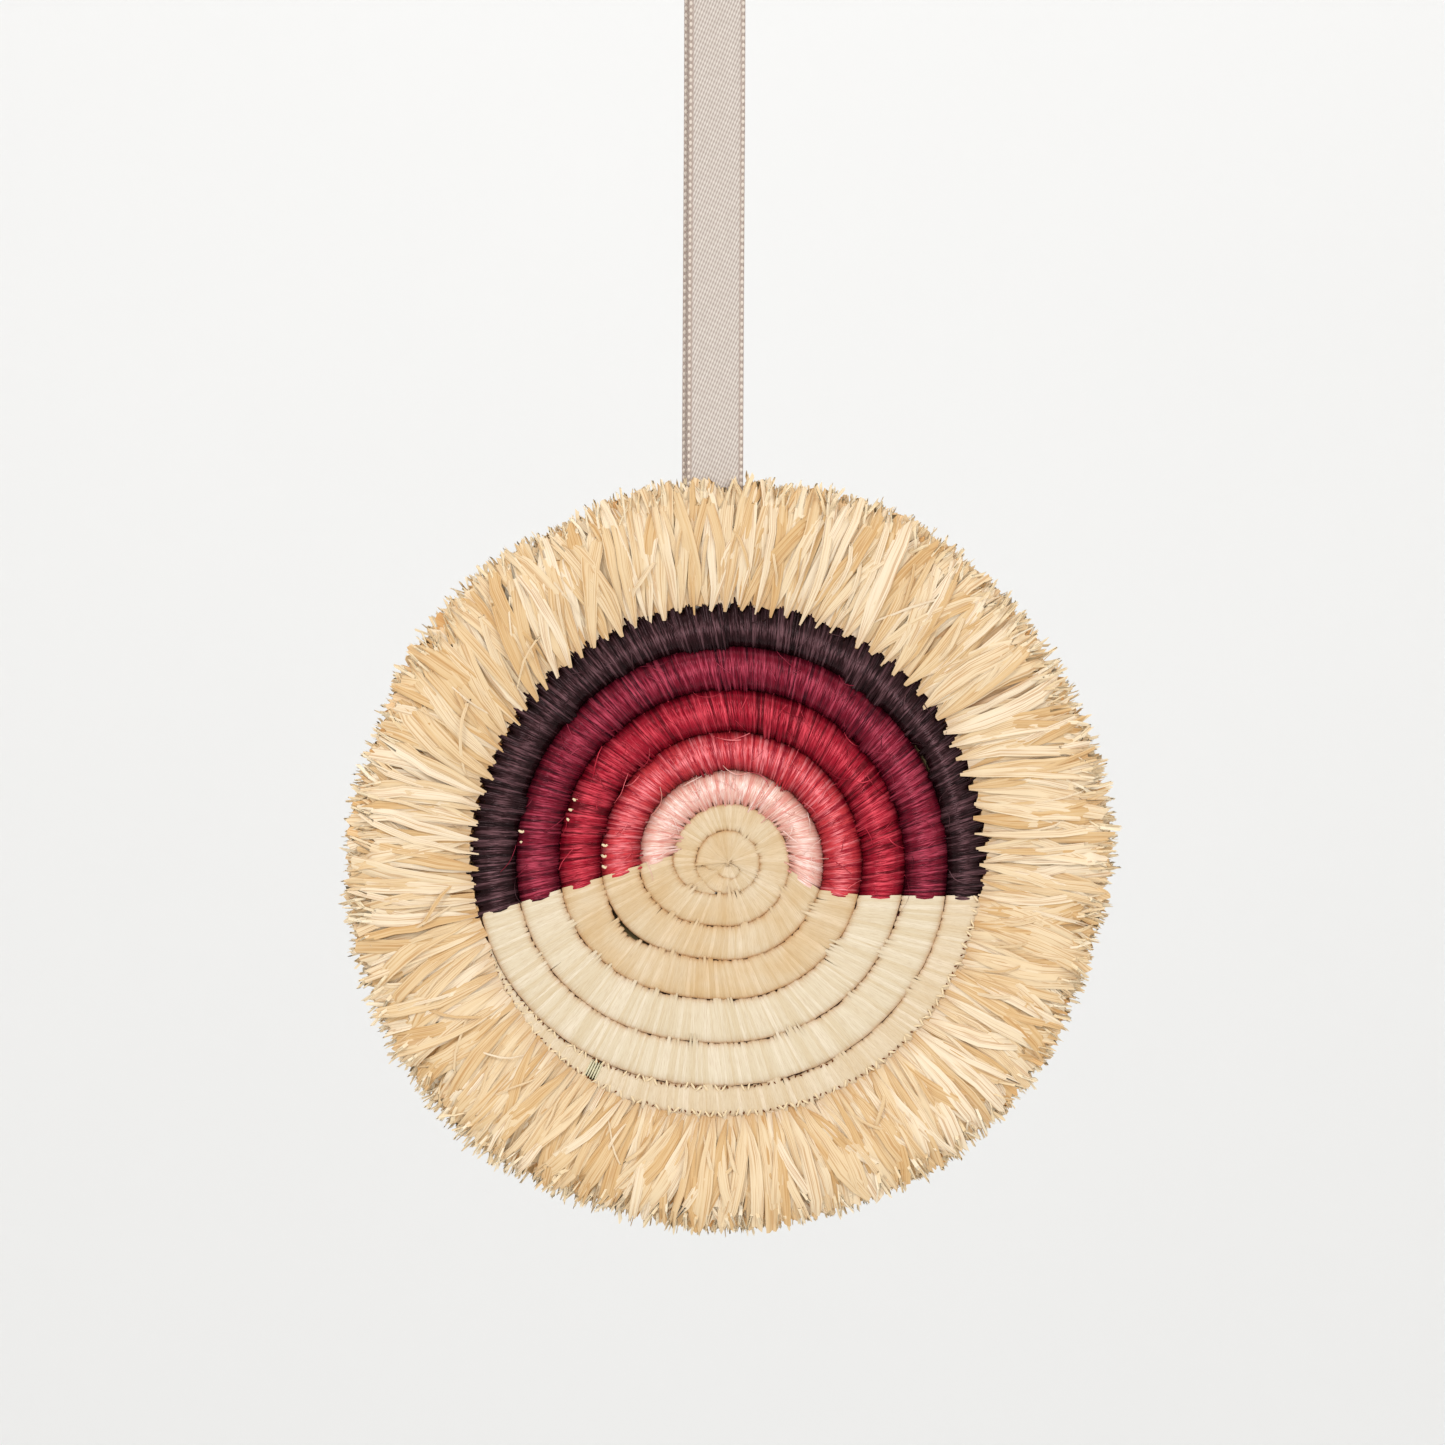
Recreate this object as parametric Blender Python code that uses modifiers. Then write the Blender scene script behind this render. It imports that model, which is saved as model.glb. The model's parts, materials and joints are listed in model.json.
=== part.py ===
"""Raffia basket ornament: a coiled disc with dyed half rows, a fringe and a ribbon loop.

Metres, +Z up, and the front faces -Y. The origin is inside the top of the ribbon
loop, where the ornament hangs.

The coil is one spiral row that winds clockwise, seen from the front, from a round
knot in the middle. A place along it is counted in steps from straight below the
knot. Each turn climbs onto the turn inside it before it reaches the dyed half.
"""
import math
import random

import bmesh
import bpy
from mathutils import Vector

COLLECTION_NAME = "basket_ornament"

# Place of the coil below the hanging point
HANG_DROP = 0.1221
HANG_SIDE = 0.0016

# Spiral coil, from the middle out
KNOT_RADIUS = 0.0042
NATURAL_ROW_WIDTH = 0.0042
PINK_ROW_WIDTH = 0.0044
CORAL_ROW_WIDTH = 0.0051
CRIMSON_ROW_WIDTH = 0.0056
BURGUNDY_ROW_WIDTH = 0.0056
RIM_ROW_WIDTH = 0.0037
CLIMB_SHARE = 0.72  # share of a row's width that is gained on the climb
CREST_THICKNESS = 0.0058
GROOVE_THICKNESS = 0.0038
CREST_SLOPE = 0.2  # rise of a narrow row's crest for each metre of its width
GAP = 0.0003

# Line where the dyed half starts, on the left: its distance and tilt
LEFT_LINE_OFFSET = 0.00274
LEFT_LINE_TILT = math.radians(17.2)
# Line where it ends, on the right: it drops away from the knot and then runs level
RIGHT_LINE_DROP = 0.0046
RIGHT_LINE_START = 0.0014
RIGHT_LINE_SLOPE = 0.63

# Fringe
TUFTS = 104
FRINGE_LENGTH = 0.0158
FRINGE_ROOT_THICKNESS = 0.0060
FRINGE_BELLY_THICKNESS = 0.0108
FRINGE_TIP_THICKNESS = 0.0056
FRINGE_RAGGED = 0.0011
TUFT_NOTCH = 0.0014
TUFT_PLEAT = 0.16  # share of the thickness that is lost between two tufts
FRINGE_LEAN = math.radians(4.0)
FRINGE_SEED = 7

# Ribbon
RIBBON_WIDTH = 0.0074
RIBBON_THICKNESS = 0.00035
# Middle of the ribbon: up the front strand, over the top and down the back strand
RIBBON_ROUTE = [
    (-0.00012, -0.00132, -0.0892),
    (-0.00011, -0.00138, -0.0820),
    (-0.00009, -0.00165, -0.0720),
    (-0.00002, -0.00205, -0.0560),
    (0.00008, -0.00255, -0.0380),
    (0.00017, -0.00305, -0.0220),
    (0.00020, -0.00348, -0.0100),
    (0.00018, -0.00367, -0.0035),
    (0.00012, -0.00319, -0.0017),
    (0.00005, -0.00184, -0.00032),
    (0.00000, 0.00000, 0.00018),
    (-0.00010, 0.00184, -0.00032),
    (-0.00024, 0.00319, -0.0017),
    (-0.00036, 0.00367, -0.0035),
    (-0.00045, 0.00348, -0.0100),
    (-0.00048, 0.00305, -0.0220),
    (-0.00057, 0.00255, -0.0380),
    (-0.00067, 0.00205, -0.0560),
    (-0.00074, 0.00165, -0.0720),
    (-0.00076, 0.00138, -0.0820),
    (-0.00077, 0.00132, -0.0892),
]

# Fineness of the solids
STEPS = 48
LEFT_STEP = 11
RIGHT_STEP = 38
ACROSS = 4
ROUTE_PIECES = 3

ROW_WIDTHS = (
    NATURAL_ROW_WIDTH,
    PINK_ROW_WIDTH,
    CORAL_ROW_WIDTH,
    CRIMSON_ROW_WIDTH,
    BURGUNDY_ROW_WIDTH,
    RIM_ROW_WIDTH,
)
RIM_TURN = len(ROW_WIDTHS)
LAST_STEP = STEPS * (RIM_TURN + 1) + LEFT_STEP
CLIMB_TURN = LEFT_STEP / STEPS
RIM_RADIUS = KNOT_RADIUS + sum(ROW_WIDTHS)
COIL_MIDDLE = Vector((HANG_SIDE, 0.0, -HANG_DROP))

# Name and colour of the dyed half row in each turn after the knot and the natural turn
FIRST_DYED_TURN = 2
DYED_ROWS = [
    ("pink_row", (0.82, 0.55, 0.48)),
    ("coral_row", (0.58, 0.06, 0.06)),
    ("crimson_row", (0.33, 0.015, 0.03)),
    ("burgundy_row", (0.19, 0.015, 0.035)),
    ("plum_row", (0.04, 0.015, 0.022)),
]


def clear_scene():
    for item in list(bpy.data.objects):
        bpy.data.objects.remove(item, do_unlink=True)


def new_collection(name):
    collection = bpy.data.collections.new(name)
    bpy.context.scene.collection.children.link(collection)
    return collection


def new_material(name, colour, roughness):
    material = bpy.data.materials.new(name)
    material.use_nodes = True
    shader = material.node_tree.nodes["Principled BSDF"]
    shader.inputs["Base Color"].default_value = (*colour, 1.0)
    shader.inputs["Roughness"].default_value = roughness
    shader.inputs["Metallic"].default_value = 0.0
    material.diffuse_color = (*colour, 1.0)
    return material


def new_object(name, bm, collection, material):
    """Make an object of a mesh whose faces then all point outwards."""
    bmesh.ops.recalc_face_normals(bm, faces=bm.faces[:])
    mesh = bpy.data.meshes.new(name)
    bm.to_mesh(mesh)
    bm.free()
    mesh.materials.append(material)
    item = bpy.data.objects.new(name, mesh)
    collection.objects.link(item)
    return item


def groove_radius(step):
    """Outer edge of the spiral row at a step. Below one whole turn it is the knot's."""
    turn, beyond = divmod(step, STEPS)
    if turn < 1:
        return KNOT_RADIUS
    if turn > RIM_TURN:
        return RIM_RADIUS
    inside = KNOT_RADIUS + sum(ROW_WIDTHS[: turn - 1])
    part = beyond / STEPS
    climb = min(1.0, part / CLIMB_TURN)
    climb = climb * climb * (3.0 - 2.0 * climb)
    if turn == RIM_TURN:
        return inside + RIM_ROW_WIDTH * climb
    rest = max(0.0, part - CLIMB_TURN) / (1.0 - CLIMB_TURN)
    return inside + ROW_WIDTHS[turn - 1] * (CLIMB_SHARE * climb + (1.0 - CLIMB_SHARE) * rest)


def left_line(radius):
    """Clockwise angle from straight down at which the dyed half starts."""
    radius = max(radius, KNOT_RADIUS + 0.6 * NATURAL_ROW_WIDTH)
    below = LEFT_LINE_TILT - math.asin(min(1.0, LEFT_LINE_OFFSET / radius))
    return math.pi / 2.0 - below


def right_line(radius):
    """Clockwise angle from straight down at which the dyed half ends."""
    inner = KNOT_RADIUS + NATURAL_ROW_WIDTH
    radius = max(radius, inner)
    drop = min(RIGHT_LINE_DROP, RIGHT_LINE_START + (radius - inner) * RIGHT_LINE_SLOPE)
    return 1.5 * math.pi + math.asin(min(1.0, drop / radius))


def step_angle(step, radius):
    """Clockwise angle of a step, spaced evenly between the two lines of the dyed half."""
    left, right = left_line(radius), right_line(radius)
    place = step % STEPS
    if place < LEFT_STEP:
        place += STEPS
    if place <= RIGHT_STEP:
        return left + (right - left) * (place - LEFT_STEP) / (RIGHT_STEP - LEFT_STEP)
    natural_steps = STEPS + LEFT_STEP - RIGHT_STEP
    turned = left + 2.0 * math.pi
    return right + (turned - right) * (place - RIGHT_STEP) / natural_steps


def half_thickness(width, share):
    """Half the coil's thickness at a share of the way across a row."""
    rise = min((CREST_THICKNESS - GROOVE_THICKNESS) / 2.0, CREST_SLOPE * width)
    return GROOVE_THICKNESS / 2.0 + rise * math.sqrt(max(0.0, 1.0 - (2.0 * share - 1.0) ** 2))


def front_point(radius, angle, half):
    """Point on the coil's front, which faces -Y."""
    return COIL_MIDDLE + Vector((-radius * math.sin(angle), -half, -radius * math.cos(angle)))


def coil_point(step, share, outwards=0.0, onwards=0.0):
    """Front point of the spiral row, moved outwards and onwards by two distances."""
    inner, outer = groove_radius(step - STEPS), groove_radius(step)
    radius = inner + (outer - inner) * share
    angle = step_angle(step, radius)
    radius += outwards
    angle += onwards / radius
    return front_point(radius, angle, half_thickness(outer - inner, share))


def thicken(bm):
    """Close a front surface into a solid with the same surface behind it."""
    grown = bmesh.ops.extrude_face_region(bm, geom=bm.faces[:])
    for item in grown["geom"]:
        if isinstance(item, bmesh.types.BMVert):
            item.co.y = -item.co.y


def is_dyed(step):
    """Whether the stretch from this step to the next one is in a dyed half row."""
    turn, place = divmod(step, STEPS)
    return turn >= FIRST_DYED_TURN and LEFT_STEP <= place < RIGHT_STEP


def edge_shift(step, share):
    """How far a natural point stands back from the dyed rows: outwards and onwards."""
    turn, place = divmod(step, STEPS)
    on_inner_groove = turn == FIRST_DYED_TURN - 1 and share == 1.0
    outwards = onwards = 0.0
    if on_inner_groove and LEFT_STEP <= place <= RIGHT_STEP:
        outwards = -GAP / 2.0
    if turn >= FIRST_DYED_TURN or on_inner_groove:
        if place == LEFT_STEP:
            onwards = -GAP / 2.0
        elif place == RIGHT_STEP:
            onwards = GAP / 2.0
    return outwards, onwards


class CoilGrid:
    """Vertices of the natural coil, where two turns share those of their groove."""

    def __init__(self, bm):
        self.bm = bm
        self.made = {}

    def vertex(self, step, across):
        if across == 0:
            step, across = step - STEPS, ACROSS
        if across == ACROSS and step == LAST_STEP:
            step -= STEPS
        if step <= STEPS:
            step, across = step % STEPS, ACROSS
        key = (step, across)
        if key not in self.made:
            share = across / ACROSS
            place = coil_point(step, share, *edge_shift(step, share))
            self.made[key] = self.bm.verts.new(place)
        return self.made[key]

    def face(self, corners):
        single = list(dict.fromkeys(corners))
        if len(single) > 2:
            self.bm.faces.new(single)


def add_knot(grid):
    """Domed knot in the middle, which the first turn winds round."""
    crest = CREST_THICKNESS / 2.0
    middle = grid.bm.verts.new(front_point(0.0, 0.0, crest))
    half_radius = KNOT_RADIUS * 0.6
    ring = [
        grid.bm.verts.new(front_point(half_radius, step_angle(step, half_radius), crest * 0.97))
        for step in range(STEPS)
    ]
    for step in range(STEPS):
        after = (step + 1) % STEPS
        grid.face([middle, ring[step], ring[after]])
        grid.face([ring[step], grid.vertex(step, ACROSS), grid.vertex(after, ACROSS), ring[after]])


def make_natural_coil(collection, material):
    """Knot, natural rows and natural lower halves of the dyed rows, as one body."""
    bm = bmesh.new()
    grid = CoilGrid(bm)
    add_knot(grid)
    for step in range(STEPS, LAST_STEP):
        if is_dyed(step):
            continue
        for across in range(ACROSS):
            grid.face(
                [
                    grid.vertex(step, across),
                    grid.vertex(step, across + 1),
                    grid.vertex(step + 1, across + 1),
                    grid.vertex(step + 1, across),
                ]
            )
    thicken(bm)
    return new_object("natural_coil", bm, collection, material)


def make_dyed_row(name, turn, collection, material):
    """Half row of dyed raffia, clear of its neighbours by the gap."""
    bm = bmesh.new()
    columns = []
    for place in range(LEFT_STEP, RIGHT_STEP + 1):
        onwards = {LEFT_STEP: GAP / 2.0, RIGHT_STEP: -GAP / 2.0}.get(place, 0.0)
        column = []
        for across in range(ACROSS + 1):
            outwards = {0: GAP / 2.0, ACROSS: -GAP / 2.0}.get(across, 0.0)
            step = turn * STEPS + place
            column.append(bm.verts.new(coil_point(step, across / ACROSS, outwards, onwards)))
        columns.append(column)
    for before, after in zip(columns, columns[1:]):
        for across in range(ACROSS):
            corners = [before[across], before[across + 1], after[across + 1], after[across]]
            bm.faces.new(corners)
    thicken(bm)
    return new_object(name, bm, collection, material)


def lean_at(angle):
    """How far the fringe's tips swing clockwise: most at the upper left and the right."""
    return FRINGE_LEAN * (1.0 - math.cos(angle) + 0.6 * math.sin(2.0 * angle + 0.5)) / 1.6


def make_fringe(collection, material):
    """Ring of raffia tufts whose folds and ragged tips are modelled tuft by tuft."""
    dice = random.Random(FRINGE_SEED)
    root = RIM_RADIUS + GAP
    profile = [
        (0.0, FRINGE_ROOT_THICKNESS / 2.0),
        (0.32, (FRINGE_ROOT_THICKNESS + FRINGE_BELLY_THICKNESS) / 4.0),
        (0.68, FRINGE_BELLY_THICKNESS / 2.0),
        (1.0, FRINGE_TIP_THICKNESS / 2.0),
    ]
    bm = bmesh.new()
    columns = []
    for number in range(2 * TUFTS):
        angle = math.pi * number / TUFTS
        between = number % 2
        length = FRINGE_LENGTH + dice.uniform(-FRINGE_RAGGED, FRINGE_RAGGED)
        length -= TUFT_NOTCH * between
        pleat = 1.0 - TUFT_PLEAT * between
        column = []
        for share, half in profile:
            turned = angle + lean_at(angle) * share
            fold = 1.0 if share == 0.0 else pleat
            column.append(bm.verts.new(front_point(root + length * share, turned, half * fold)))
        columns.append(column)
    for before, after in zip(columns, columns[1:] + columns[:1]):
        for across in range(len(profile) - 1):
            corners = [before[across], before[across + 1], after[across + 1], after[across]]
            bm.faces.new(corners)
    thicken(bm)
    return new_object("raffia_fringe", bm, collection, material)


def smooth_route(points, pieces):
    """Points of a smooth curve through a route's own points."""
    given = [Vector(point) for point in points]
    given = [2.0 * given[0] - given[1]] + given + [2.0 * given[-1] - given[-2]]
    smooth = []
    for a, b, c, d in zip(given, given[1:], given[2:], given[3:]):
        for piece in range(pieces):
            t = piece / pieces
            smooth.append(
                0.5
                * (
                    2.0 * b
                    + (c - a) * t
                    + (2.0 * a - 5.0 * b + 4.0 * c - d) * t * t
                    + (3.0 * b - a - 3.0 * c + d) * t * t * t
                )
            )
    return smooth + [given[-2]]


def make_ribbon(collection, material):
    """Flat ribbon: a strip along the route, made thick with Solidify."""
    bm = bmesh.new()
    side = Vector((RIBBON_WIDTH / 2.0, 0.0, 0.0))
    pairs = [
        (bm.verts.new(point - side), bm.verts.new(point + side))
        for point in smooth_route(RIBBON_ROUTE, ROUTE_PIECES)
    ]
    for before, after in zip(pairs, pairs[1:]):
        bm.faces.new([before[0], before[1], after[1], after[0]])
    ribbon = new_object("ribbon_loop", bm, collection, material)
    solidify = ribbon.modifiers.new("thickness", "SOLIDIFY")
    solidify.thickness = RIBBON_THICKNESS
    solidify.offset = 0.0
    solidify.use_even_offset = True
    return ribbon


def cut_ribbon_pocket(fringe):
    """Slot through the fringe, between its front and back layers, for the ribbon's ends."""
    clear = RIBBON_THICKNESS / 2.0 + GAP
    fringe_top = -HANG_DROP + RIM_RADIUS + GAP + FRINGE_LENGTH + FRINGE_RAGGED
    inside = [point for point in smooth_route(RIBBON_ROUTE, ROUTE_PIECES) if point[2] < fringe_top]
    half_width = RIBBON_WIDTH / 2.0 + GAP
    low_x = min(point[0] for point in inside) - half_width
    high_x = max(point[0] for point in inside) + half_width
    depth = max(abs(point[1]) for point in inside) + clear
    bottom = -HANG_DROP + RIM_RADIUS * math.cos(half_width / RIM_RADIUS) - GAP
    top = fringe_top + FRINGE_RAGGED
    bm = bmesh.new()
    bmesh.ops.create_cube(bm, size=1.0)
    bmesh.ops.scale(bm, vec=(high_x - low_x, 2.0 * depth, top - bottom), verts=bm.verts[:])
    middle = ((low_x + high_x) / 2.0, 0.0, (bottom + top) / 2.0)
    bmesh.ops.translate(bm, vec=middle, verts=bm.verts[:])
    cutters = new_collection("cutters")
    cutter = new_object("ribbon_pocket", bm, cutters, fringe.data.materials[0])
    cutter.hide_render = True
    cutter.display_type = "WIRE"
    pocket = fringe.modifiers.new("ribbon pocket", "BOOLEAN")
    pocket.operation = "DIFFERENCE"
    pocket.solver = "EXACT"
    pocket.object = cutter


def main():
    clear_scene()
    collection = new_collection(COLLECTION_NAME)
    natural = new_material("natural raffia", (0.80, 0.66, 0.42), 0.6)
    fringe_raffia = new_material("fringe raffia", (0.84, 0.68, 0.42), 0.65)
    satin = new_material("satin ribbon", (0.62, 0.55, 0.50), 0.4)
    make_natural_coil(collection, natural)
    for turn, (name, colour) in enumerate(DYED_ROWS, start=FIRST_DYED_TURN):
        dyed = new_material(name.replace("_row", " dyed raffia"), colour, 0.45)
        make_dyed_row(name, turn, collection, dyed)
    fringe = make_fringe(collection, fringe_raffia)
    cut_ribbon_pocket(fringe)
    make_ribbon(collection, satin)


main()
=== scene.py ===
"""Looks of the raffia basket ornament: wrapped strands, fringe blades and a satin ribbon loop.

Metres, +Z up, and the front faces -Y. The row of the coil is one spiral that winds
clockwise, seen from the front, and a place along it is counted in steps from
straight below the knot in the middle.
"""
import json
import math
import random
from functools import partial

import bmesh
import bpy
from bpy.props import FloatProperty, FloatVectorProperty, IntProperty, PointerProperty
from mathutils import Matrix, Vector

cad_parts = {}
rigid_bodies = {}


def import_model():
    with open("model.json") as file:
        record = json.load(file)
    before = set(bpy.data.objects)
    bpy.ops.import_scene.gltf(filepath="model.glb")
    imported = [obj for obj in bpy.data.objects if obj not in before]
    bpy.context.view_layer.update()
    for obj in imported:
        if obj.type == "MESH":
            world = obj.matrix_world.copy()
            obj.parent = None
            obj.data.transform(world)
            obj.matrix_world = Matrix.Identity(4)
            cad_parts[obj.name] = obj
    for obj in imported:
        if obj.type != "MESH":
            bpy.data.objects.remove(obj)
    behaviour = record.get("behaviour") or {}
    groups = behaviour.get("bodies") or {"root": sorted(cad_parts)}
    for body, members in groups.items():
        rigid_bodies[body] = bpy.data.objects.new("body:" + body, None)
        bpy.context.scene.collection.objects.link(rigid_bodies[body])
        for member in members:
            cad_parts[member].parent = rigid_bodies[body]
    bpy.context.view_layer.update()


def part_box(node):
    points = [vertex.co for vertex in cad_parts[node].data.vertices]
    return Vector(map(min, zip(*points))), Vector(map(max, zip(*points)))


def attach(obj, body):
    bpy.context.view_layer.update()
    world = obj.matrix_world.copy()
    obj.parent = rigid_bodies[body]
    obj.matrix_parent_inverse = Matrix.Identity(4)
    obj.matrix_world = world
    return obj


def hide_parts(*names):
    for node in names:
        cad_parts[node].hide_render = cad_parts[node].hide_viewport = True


for item in list(bpy.data.objects):
    bpy.data.objects.remove(item, do_unlink=True)

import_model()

bl_info = {
    "name": "Raffia basket ornament",
    "version": (1, 0, 0),
    "blender": (4, 5, 0),
    "location": "3D View > Sidebar > Ornament",
    "description": "Builds a coiled raffia disc with a fringe and a ribbon loop",
    "category": "Add Mesh",
}

# Spiral coil, from the middle out
KNOT_RADIUS = 0.0042
ROW_WIDTHS = (0.0042, 0.0044, 0.0051, 0.0056, 0.0056, 0.0037)
CLIMB_SHARE = 0.72  # of a row's width that it gains in its climb, before the dyed half
CREST_THICKNESS = 0.0058
GROOVE_THICKNESS = 0.0038
CREST_SLOPE = 0.2
LEFT_LINE_OFFSET = 0.00274
LEFT_LINE_TILT = math.radians(17.2)
RIGHT_LINE_DROP = 0.0046
RIGHT_LINE_START = 0.0014
RIGHT_LINE_SLOPE = 0.63
STEPS = 48  # to a turn
LEFT_STEP = 11  # where the dyed half starts
RIGHT_STEP = 38  # where it ends
RIM_TURN = len(ROW_WIDTHS)
CLIMB_TURN = LEFT_STEP / STEPS  # share of a turn in which a row climbs onto the one inside it
LAST_STEP = STEPS * (RIM_TURN + 1) + LEFT_STEP
RIM_RADIUS = KNOT_RADIUS + sum(ROW_WIDTHS)
FIRST_DYED_TURN = 2
STEP_PARTS = 4  # guide points to a step
RIM_PARTS = 14  # guide points to a step of the natural rim
PLUM_PARTS = 12  # guide points to a step of the plum rim
STRAND_BREADTH, STRAND_SLANT = 1.8, 0.3  # a strand's width, and how far it slants, in pitches
OVERLAP = 0.00004  # that strands of neighbouring rows run into each other
NARROWEST_ROW = 0.0004  # below which a row has no strands
CLUSTER_LENGTH = 0.004  # of a row, between two clusters of long stitches
RIM_STITCHES = 176  # long stitches in a whole turn of the natural rim
BULGE, BULGE_MIDDLE, BULGE_SPREAD = 0.0008, 42.0, 53.0  # of the rim: depth, and place and reach in degrees
# Radius of the sewing within the rim's outer edge, past its inner edge, and of bare stems past that edge
SEWING_INSIDE, SEWING_PAST, STEMS_PAST = 0.0003, 0.0001, 0.0013
# Inner edge of the knot's row: clockwise degrees from straight down, and millimetres from the middle
KNOT_EDGE = ((-76, 0.3), (-58, 1.9), (-24, 2.3), (12, 2.1), (50, 2.0), (71, 2.7), (89, 3.5), (90, 0.3))
# Where a row's inner edge has slipped outwards and shows the core: step, spread in steps, depth
NOTCHES = ((4 * STEPS + 7.3, 2.6, 0.0008), (RIM_TURN * STEPS + 33.0, 1.6, 0.0006))
BARE_STEPS = (LAST_STEP - 6.1, LAST_STEP - 5.7)  # where the rim's last strands have parted

# Pale raffia ends that peep out between dyed rows: right of and above the middle, in millimetres
FLECKS = (
    (-19.9, 8.1), (-20.4, 6.8), (-20.7, 5.5), (-26.9, 4.0), (-26.7, 2.6), (-16.1, 2.2), (-16.2, 0.8),
    (-16.1, -0.6), (22.2, 21.2), (22.9, 20.6), (23.4, 19.8),
)

FLECK_FRONT = 0.00245  # how far in front of the middle plane they lie
FLECK_LENGTH = 0.0004  # of the guide line for one

HANG_SIDE = 0.0016  # how far to the right of the ribbon's top the disc's middle hangs
COIL_MIDDLE = Vector((HANG_SIDE, 0.0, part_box("natural_coil")[0].z + RIM_RADIUS))
FORWARD = Vector((0.0, -1.0, 0.0))

# Fringe
TUFTS = 104
FRINGE_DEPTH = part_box("raffia_fringe")[1].y
BELLY_GAP = 0.0003  # from the middle line of the outermost blades to the surface they lie on
# Radius at which the blades of each layer start, over the dyed half and over the natural half
OUTER_ROOTS, INNER_ROOTS, STRAY_ROOTS, TIP_ROOTS = (
    (0.0321, 0.0326), (0.0336, 0.0327), (0.0350, 0.0350), (0.0448, 0.0448),
)
ROOT_LINE = 0.0325  # radius from which a blade's length is counted
# Ring of packed blades inside the fringe: inner and outer radius, and how ragged its edge is
PACKED_START, PACKED_END, PACKED_RAGGED = 0.0330, 0.0480, 0.0006
RIBBON_CLEARANCE = 0.0006  # beside the ribbon, within which the deep blades leave room for it
# Clockwise lean of the blades, in degrees, at clockwise angles from straight down
LEANS = (
    (-40, 2), (-22, -10), (-12, -14), (0, 2), (14, 13), (30, 4), (50, -8), (70, -9), (82, -3),
    (95, -4), (110, 15), (140, 17), (165, 7), (185, 8), (205, 3), (228, 6), (250, 15), (266, 10),
    (275, 1), (290, -5), (310, 0), (320, 2), (338, -10),
)

# How much shorter the fringe is, in millimetres, at clockwise angles from straight down
CUTS = (
    (0, 2.3), (20, 2.6), (32, 2.2), (42, 1.1), (60, 0.7), (90, 0.5), (100, 0.8), (110, 1.5), (120, 0.7),
    (140, 0.4), (151, 1.4), (163, 0.7), (175, 0.2), (190, 0.6), (200, -0.2), (240, 0.3), (265, -0.1),
    (272, 0.4), (281, 1.6), (300, 1.7), (320, 1.9), (332, 2.5), (350, 2.7),
)

# Ribbon: up the front strand, over the top and down the back strand
RIBBON_WIDTH = 0.0074
RIBBON_THICKNESS = 0.00035
RIBBON_ROUTE = [
    (-0.00012, -0.00132, -0.0892),
    (-0.00011, -0.00138, -0.0820),
    (-0.00009, -0.00165, -0.0720),
    (-0.00002, -0.00205, -0.0560),
    (0.00008, -0.00255, -0.0380),
    (0.00017, -0.00305, -0.0220),
    (0.00020, -0.00348, -0.0100),
    (0.00018, -0.00367, -0.0035),
    (0.00012, -0.00319, -0.0017),
    (0.00005, -0.00184, -0.00032),
    (0.00000, 0.00000, 0.00018),
    (-0.00010, 0.00184, -0.00032),
    (-0.00024, 0.00319, -0.0017),
    (-0.00036, 0.00367, -0.0035),
    (-0.00045, 0.00348, -0.0100),
    (-0.00048, 0.00305, -0.0220),
    (-0.00057, 0.00255, -0.0380),
    (-0.00067, 0.00205, -0.0560),
    (-0.00074, 0.00165, -0.0720),
    (-0.00076, 0.00138, -0.0820),
    (-0.00077, 0.00132, -0.0892),
]

# Camera: one pixel of the 1445 pixel picture is 0.13 mm at the disc
PICTURE_PIXELS = 1445
PIXEL = 0.00013
DISC_PIXEL = (728.0, 862.0)
CAMERA_DISTANCE = 1.0
SENSOR_WIDTH = 36.0

# What a grown mesh keeps: its own data, and what the raffia's material reads
KEPT_ATTRIBUTES = {
    "position", "material_index", "sharp_face", "sharp_edge", "tone", "across", "along", "edge", "tint",
}
SHARP_ANGLE = math.radians(50.0)  # between two faces, from which their edge is sharp


def linear(hex_colour):
    """Linear red, green and blue of an sRGB colour written as #rrggbb."""
    parts = [int(hex_colour[i : i + 2], 16) / 255.0 for i in (1, 3, 5)]
    return tuple(p / 12.92 if p <= 0.04045 else ((p + 0.055) / 1.055) ** 2.4 for p in parts)


def smooth(share):
    """Ease from nought to one."""
    share = max(0.0, min(1.0, share))
    return share * share * (3.0 - 2.0 * share)


# The coil's spiral, as in the part but for the bulge of its rim


def rim_bulge(degrees):
    """How far the rim stands out at the lower left, at clockwise degrees from straight down."""
    return BULGE * smooth(1.0 - abs(degrees - BULGE_MIDDLE) / BULGE_SPREAD)


def groove_radius(step):
    """Outer edge of the spiral row at a step. Below one whole turn it is the knot's."""
    turn, beyond = divmod(step, STEPS)
    if turn < 1:
        return KNOT_RADIUS
    if turn > RIM_TURN:
        return RIM_RADIUS + rim_bulge(math.degrees(step_angle(step, RIM_RADIUS)) % 360.0)
    inside = KNOT_RADIUS + sum(ROW_WIDTHS[: int(turn) - 1])
    width = ROW_WIDTHS[int(turn) - 1]
    part = beyond / STEPS
    climb = smooth(part / CLIMB_TURN)
    if turn == RIM_TURN:
        return inside + width * climb
    rest = max(0.0, part - CLIMB_TURN) / (1.0 - CLIMB_TURN)
    return inside + width * (CLIMB_SHARE * climb + (1.0 - CLIMB_SHARE) * rest)


def left_line(radius):
    """Clockwise angle from straight down at which the dyed half starts."""
    radius = max(radius, KNOT_RADIUS + 0.6 * ROW_WIDTHS[0])
    below = LEFT_LINE_TILT - math.asin(min(1.0, LEFT_LINE_OFFSET / radius))
    return math.pi / 2.0 - below


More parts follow.
